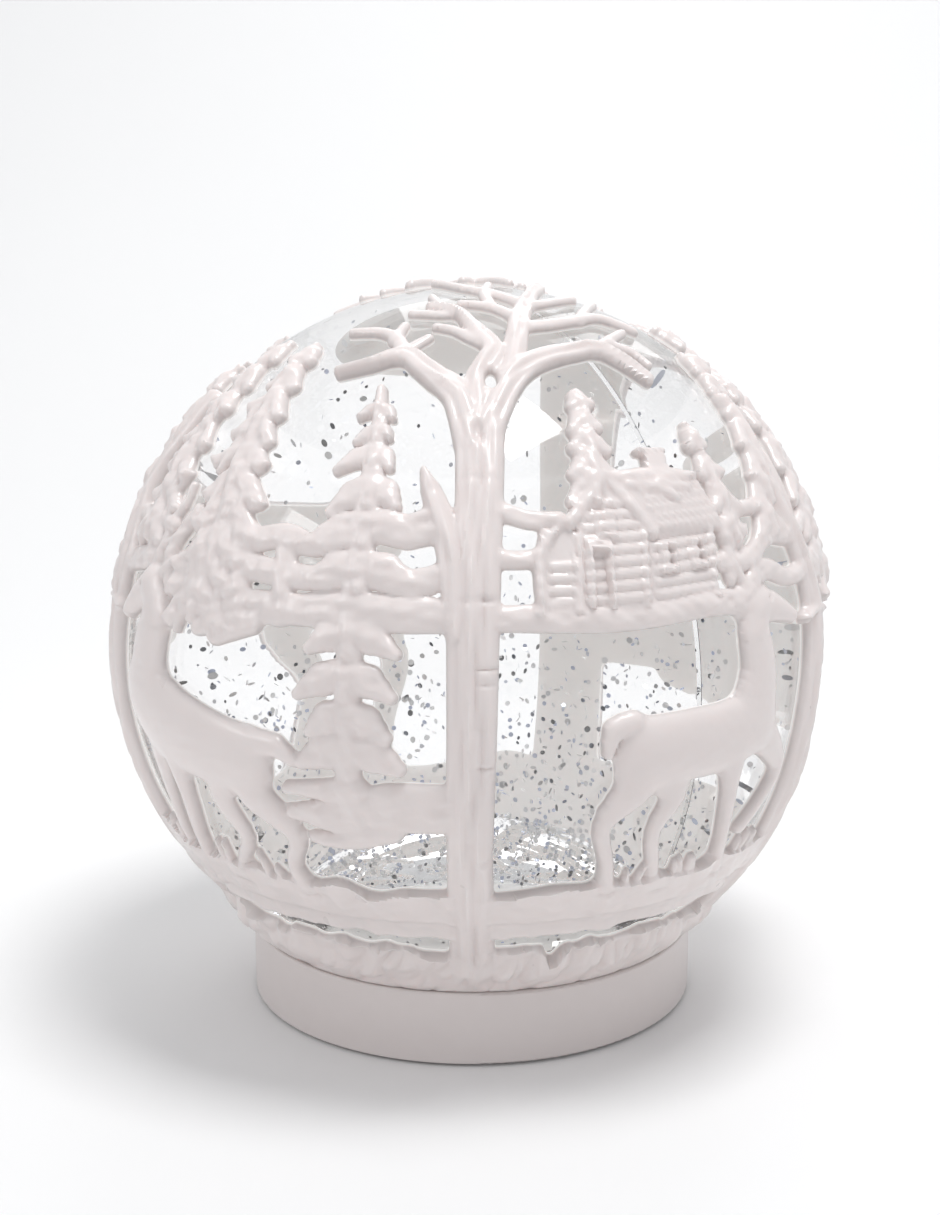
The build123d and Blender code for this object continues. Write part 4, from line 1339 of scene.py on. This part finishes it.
@dataclass
class Overlay:
    """The white moulding over the globe, in four lengths that hide their joints."""

    wood: WinterWood

    def build(self) -> list[bpy.types.Object]:
        """Sculpt the wood and put it in place of the plain mouldings.

        Returns:
            The four pieces.
        """
        self.wood.sculpt()
        pieces = []
        for part in Part:
            points, tris = self.wood.moulding.cut_out(part)
            piece = tri_piece(f"wood_{part.name.lower()}", points * MM, tris, 55.0)
            # Lining is 1 on the inner faces, where the skin's finish paints light as emission.
            lining = np.repeat(np.array([0.0, 1.0], dtype=np.float32), len(points) // 2)
            mask = piece.data.attributes.new("lining", "FLOAT", "POINT")
            mask.data.foreach_set("value", lining)
            PAINT.dress(piece, "frosted_skin")
            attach(piece, "globe")
            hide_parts("overlay_left", "overlay_right")
            LOG.info("%s has %d triangles", piece.name, len(tris))
            pieces.append(piece)
        return pieces


# --- globe, liquid and glitter ------------------------------------------------------------------
@dataclass
class GlassShell:
    """The clear globe: two half shells whose weld shows as a thin line."""

    globe_r: float
    wall: float
    globe_z: float
    opening_z: float
    weld_turn: float = 36.0
    weld_gap: float = 0.06
    around: int = 120
    rings: int = 96

    def half(self, node: str, middle: float) -> bpy.types.Object:
        """Model one half and put it in place of the plain solid.

        Args:
            node: The plain solid's name.
            middle: Turn of the half's middle about Z, in degrees from +X.

        Returns:
            The piece.
        """
        edge = 90.0 - math.degrees(self.weld_gap / self.globe_r)
        turns = np.radians(np.linspace(middle - edge, middle + edge, self.around + 1))
        radii = (self.globe_r, self.globe_r - self.wall)
        points: list[tuple[float, float, float]] = []
        sheets: list[list[list[int]]] = []
        for radius in radii:
            start = math.asin((self.opening_z - self.globe_z) / radius)
            rows = []
            for k in range(self.rings + 1):
                lean = start + (math.pi / 2 - start) * k / self.rings
                if k == self.rings:
                    rows.append([len(points)] * (self.around + 1))
                    points.append((0.0, 0.0, self.globe_z + radius))
                    continue
                rows.append([len(points) + m for m in range(self.around + 1)])
                flat, height = radius * math.cos(lean), self.globe_z + radius * math.sin(lean)
                points += [(flat * math.cos(t), flat * math.sin(t), height) for t in turns]
            sheets.append(rows)
        outer, inner = sheets
        faces = []
        for k in range(self.rings):
            for m in range(self.around):
                faces.append([outer[k][m], outer[k][m + 1], outer[k + 1][m + 1], outer[k + 1][m]])
                faces.append([inner[k][m + 1], inner[k][m], inner[k + 1][m], inner[k + 1][m + 1]])
            faces.append([inner[k][0], outer[k][0], outer[k + 1][0], inner[k + 1][0]])
            faces.append([outer[k][-1], inner[k][-1], inner[k + 1][-1], outer[k + 1][-1]])
        for m in range(self.around):
            faces.append([outer[0][m + 1], outer[0][m], inner[0][m], inner[0][m + 1]])
        corners = [list(dict.fromkeys(f)) for f in faces]
        piece = mesh_piece(f"{node}_shell", np.array(points) * MM, [f for f in corners if len(f) > 2])
        piece.data.set_sharp_from_angle(angle=math.radians(40.0))
        PAINT.dress(piece, "clear_shell")
        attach(piece, "globe")
        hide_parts(node)
        return piece

    def build(self) -> list[bpy.types.Object]:
        """Model both halves.

        Returns:
            The two pieces.
        """
        return [
            self.half("globe_half_front", self.weld_turn),
            self.half("globe_half_rear", self.weld_turn + 180.0),
        ]


@dataclass
class WaterFill:
    """The liquid, wetting the clear wall and lapping round the impeller's dome."""

    globe_r: float
    wall: float
    globe_z: float
    floor_z: float
    dome_r: float
    dome_top: float
    wet: float = 0.12
    dome_foot: float = 2.0
    around: int = 192
    rings: int = 96

    def build(self) -> bpy.types.Object:
        """Turn the liquid's outline and put it in place of the plain solid.

        Returns:
            The piece.
        """
        radius = self.globe_r - self.wall + self.wet
        low = self.floor_z + 0.02
        start = math.asin((low - self.globe_z) / radius)
        spring = self.floor_z + self.dome_foot
        rise = self.dome_top - spring + 0.3
        profile = [(0.0, spring + rise)]
        steps = 40
        for k in range(1, steps + 1):
            bend = math.radians(90.0 * k / steps)
            profile.append(((self.dome_r + 0.02) * math.sin(bend), spring + rise * math.cos(bend) + 0.02))
        profile += [(self.dome_r + 0.02, low)]
        profile.append((radius * math.cos(start) - 0.4, low))
        for k in range(self.rings + 1):
            angle = start + (math.pi / 2 - start) * k / self.rings
            size = radius * math.cos(angle) if k < self.rings else 0.0
            profile.append((size, self.globe_z + radius * math.sin(angle)))
        piece = lathe("water_fill", [(r * MM, z * MM) for r, z in profile], self.around)
        PAINT.dress(piece, "liquid")
        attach(piece, "globe")
        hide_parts("liquid")
        return piece


@dataclass
class Glitter:
    """Foil flakes: a settled layer on the floor and a cloud that thins out upwards."""

    globe_r: float
    globe_z: float
    floor_z: float
    dome_r: float
    dome_top: float
    settled: int = 1100
    drifting: int = 4600
    flake_r: float = 0.43
    floor_reach: float = 46.0
    on_dome: float = 0.62
    wall_gap: float = 3.6
    busy_below: float = 0.52
    sparse: float = 0.07
    seed: int = 5

    def places(self) -> np.ndarray:
        """Where the flakes are.

        Returns:
            One row of millimetres for each flake.
        """
        draw = np.random.default_rng(self.seed)
        out = []
        while len(out) < self.settled:
            radius = self.dome_r + 0.8 + (self.floor_reach - self.dome_r) * math.sqrt(draw.random())
            turn = draw.uniform(0, 2 * math.pi)
            lift = self.floor_z + 0.35 + abs(draw.normal(0, 0.5))
            if draw.random() < self.on_dome:
                radius = self.dome_r * math.sqrt(draw.random())
                lift = self.floor_z + 2.7 + (self.dome_top - self.floor_z - 2.0) * math.sqrt(
                    max(0.0, 1 - (radius / self.dome_r) ** 2)
                )
            out.append((radius * math.cos(turn), radius * math.sin(turn), lift))
        limit = self.globe_r - self.wall_gap
        while len(out) < self.settled + self.drifting:
            spot = draw.uniform(-limit, limit, 3)
            size = float(np.linalg.norm(spot))
            height = spot[2] + self.globe_z
            if size > limit or height < self.floor_z + 1.0:
                continue
            out_share = math.hypot(spot[0], spot[1]) / (self.dome_r + 1.5)
            crest = self.dome_top + 2 - self.floor_z
            if out_share < 1 and height < self.floor_z + crest * math.sqrt(1 - out_share**2):
                continue
            share = (height - self.floor_z) / (2 * self.globe_r)
            crowd = self.sparse
            if share <= self.busy_below:
                crowd = max(self.sparse, 1.0 - 1.7 * share) ** 1.6
            near_wall = 0.35 + 0.65 * (size / limit) ** 4
            if draw.random() < crowd * near_wall:
                out.append((spot[0], spot[1], height))
        return np.array(out)

    def tree(self) -> bpy.types.NodeTree:
        """The node tree that puts a round flake on each point.

        Returns:
            The tree, with inputs for the flake's radius and seed.
        """
        tree = bpy.data.node_groups.new("flakes_on_points", "GeometryNodeTree")
        face = tree.interface
        face.new_socket("Geometry", in_out="INPUT", socket_type="NodeSocketGeometry")
        face.new_socket("Flake radius", in_out="INPUT", socket_type="NodeSocketFloat")
        face.new_socket("Seed", in_out="INPUT", socket_type="NodeSocketInt")
        face.new_socket("Finish", in_out="INPUT", socket_type="NodeSocketMaterial")
        face.new_socket("Geometry", in_out="OUTPUT", socket_type="NodeSocketGeometry")
        nodes, links = tree.nodes, tree.links
        start, end = nodes.new("NodeGroupInput"), nodes.new("NodeGroupOutput")
        disc = nodes.new("GeometryNodeMeshCircle")
        disc.fill_type = "NGON"
        disc.inputs["Vertices"].default_value = 10
        put = nodes.new("GeometryNodeInstanceOnPoints")
        tilt = nodes.new("FunctionNodeRandomValue")
        tilt.data_type = "FLOAT_VECTOR"
        tilt.inputs["Max"].default_value = (2 * math.pi,) * 3
        size = nodes.new("FunctionNodeRandomValue")
        size.data_type = "FLOAT"
        size.inputs[2].default_value = 0.72
        size.inputs[3].default_value = 1.18
        tone = nodes.new("FunctionNodeRandomValue")
        tone.data_type = "FLOAT"
        keep = nodes.new("GeometryNodeStoreNamedAttribute")
        keep.data_type = "FLOAT"
        keep.domain = "INSTANCE"
        keep.inputs["Name"].default_value = "tone"
        real = nodes.new("GeometryNodeRealizeInstances")
        paint = nodes.new("GeometryNodeSetMaterial")
        links.new(start.outputs["Flake radius"], disc.inputs["Radius"])
        links.new(start.outputs["Geometry"], put.inputs["Points"])
        links.new(disc.outputs["Mesh"], put.inputs["Instance"])
        for node in (tilt, size, tone):
            links.new(start.outputs["Seed"], node.inputs["Seed"])
        links.new(tilt.outputs["Value"], put.inputs["Rotation"])
        links.new(size.outputs[1], put.inputs["Scale"])
        links.new(put.outputs["Instances"], keep.inputs["Geometry"])
        links.new(tone.outputs[1], keep.inputs["Value"])
        links.new(keep.outputs["Geometry"], real.inputs["Geometry"])
        links.new(real.outputs["Geometry"], paint.inputs["Geometry"])
        links.new(start.outputs["Finish"], paint.inputs["Material"])
        links.new(paint.outputs["Geometry"], end.inputs["Geometry"])
        return tree

    def build(self) -> bpy.types.Object:
        """Scatter the flakes and put them in place of the plain ones.

        Returns:
            The piece.
        """
        seeds = mesh_piece("flake_points", self.places() * MM, [])
        tree = self.tree()
        scatter = seeds.modifiers.new("scatter", "NODES")
        scatter.node_group = tree
        values = {"Flake radius": self.flake_r * MM, "Seed": self.seed, "Finish": PAINT.get("flakes")}
        for item in tree.interface.items_tree:
            if item.in_out == "INPUT" and item.name in values:
                scatter[item.identifier] = values[item.name]
        bpy.context.view_layer.update()
        deps = bpy.context.evaluated_depsgraph_get()
        mesh = bpy.data.meshes.new_from_object(seeds.evaluated_get(deps))
        seeds.modifiers.clear()
        bpy.data.objects.remove(seeds)
        piece = bpy.data.objects.new("glitter_flakes", mesh)
        bpy.context.scene.collection.objects.link(piece)
        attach(piece, "globe")
        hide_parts("glitter")
        LOG.info("glitter has %d faces", len(mesh.polygons))
        return piece


# --- the carried-over pieces ---------------------------------------------------------------------
@dataclass
class PlainPieces:
    """Every piece whose shape is right as it comes, dressed by its material slot."""

    slots: dict[str, str]

    def build(self) -> None:
        """Dress each piece that is still shown."""
        for node, slot in self.slots.items():
            piece = frame["nodes"][node]
            PAINT.dress(piece, slot)
        LOG.info("%d pieces dressed", len(self.slots))


# --- staging ---------------------------------------------------------------------------------------
@dataclass
class Studio:
    """A pale sweep, soft light and the camera."""

    camera_back: float = 0.461
    camera_up: float = 0.1931
    pitch: float = 13.09
    lens: float = 64.08
    shift: float = -0.0015
    sweep_back: float = 0.75
    sweep_half: float = 2.4

    def sweep(self) -> None:
        """The floor that curves up into a backdrop."""
        bend = 0.45
        line = [(-2.2, 0.0), (self.sweep_back - bend, 0.0)]
        for k in range(1, 25):
            turn = math.radians(90.0 * k / 24)
            line.append((self.sweep_back - bend + bend * math.sin(turn), bend - bend * math.cos(turn)))
        line.append((self.sweep_back, 2.6))
        points = [(x, y, z) for y, z in line for x in (-self.sweep_half, self.sweep_half)]
        faces = [[2 * k, 2 * k + 1, 2 * k + 3, 2 * k + 2] for k in range(len(line) - 1)]
        floor = mesh_piece("studio_sweep", np.array(points), faces)
        finish = Finish(
            "studio_paper", (0.86, 0.86, 0.86), (0.88, 0.88, 0.88), 0.7, 0.05, grain=30.0, bump=0.0
        )
        floor.data.materials.append(finish.build())

    def lamp(self, name: str, place: tuple[float, float, float], size: float, watts: float) -> None:
        """A square soft light aimed at the globe.

        Args:
            name: Its name.
            place: Position in metres.
            size: Side in metres.
            watts: Power.
        """
        data = bpy.data.lights.new(name, "AREA")
        data.size = size
        data.energy = watts
        lamp = bpy.data.objects.new(name, data)
        lamp.location = place
        aim = np.array([0.0, 0.0, 0.07]) - np.array(place)
        flat = math.hypot(aim[0], aim[1])
        lamp.rotation_euler = (math.atan2(flat, -aim[2]), 0.0, math.atan2(aim[1], aim[0]) - math.pi / 2)
        bpy.context.scene.collection.objects.link(lamp)

    def build(self) -> None:
        """Set up the sweep, the lights, the world and the camera."""
        self.sweep()
        self.lamp("top_panel", (0.15, -0.12, 0.95), 0.3, 4.6)
        self.lamp("rear_panel", (0.1, 0.65, 0.6), 0.5, 1.2)
        self.lamp("left_panel", (-0.8, -0.35, 0.55), 0.3, 0.8)
        world = bpy.data.worlds.new("studio_world")
        world.use_nodes = True
        world.node_tree.nodes["Background"].inputs["Color"].default_value = (0.97, 0.98, 1.0, 1.0)
        world.node_tree.nodes["Background"].inputs["Strength"].default_value = 0.64
        scene = bpy.context.scene
        scene.world = world
        scene.view_settings.view_transform = "Standard"
        data = bpy.data.cameras.new("camera")
        data.lens = self.lens
        data.shift_x = self.shift
        data.clip_start = 0.01
        camera = bpy.data.objects.new("camera", data)
        camera.location = (0.0, -self.camera_back, self.camera_up)
        camera.rotation_euler = (math.radians(90.0 - self.pitch), 0.0, 0.0)
        scene.collection.objects.link(camera)
        scene.camera = camera


def span(*nodes: str) -> tuple[np.ndarray, np.ndarray]:
    """The box of several nodes together.

    Args:
        nodes: Names of the nodes.

    Returns:
        Its lowest and highest corner, in millimetres.
    """
    boxes = [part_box(n) for n in nodes]
    low = np.min([np.array(b[0]) for b in boxes], axis=0)
    high = np.max([np.array(b[1]) for b in boxes], axis=0)
    return low / MM, high / MM


def main() -> None:
    """Build and dress the snow globe in order."""
    logging.basicConfig(level=logging.INFO, format="%(name)s: %(message)s")
    low, high = span("globe_half_front", "globe_half_rear")
    globe_r = (high[0] - low[0]) / 2
    globe_z = high[2] - globe_r
    floor_z = span("impeller_guard")[0][2]
    dome_top = span("impeller_guard")[1][2]
    dome_r = (span("impeller_guard")[1][0] - span("impeller_guard")[0][0]) / 2
    foot_z = span("overlay_left")[0][2]
    top_z = span("overlay_left", "overlay_right")[1][2]
    wall = globe_r - (span("liquid")[1][0] - span("liquid")[0][0]) / 2 - 0.05

    Studio().build()
    slots = {s["node"]: s["material_slot"] for s in frame["record"]["subparts"]}
    PlainPieces(slots).build()
    Overlay(WinterWood(Moulding(globe_r, globe_z, foot_z, top_z))).build()
    GlassShell(globe_r, wall, globe_z, low[2]).build()
    WaterFill(globe_r, wall, globe_z, floor_z, dome_r, dome_top).build()
    Glitter(globe_r, globe_z, floor_z, dome_r, dome_top).build()


if __name__ == "__main__":
    main()
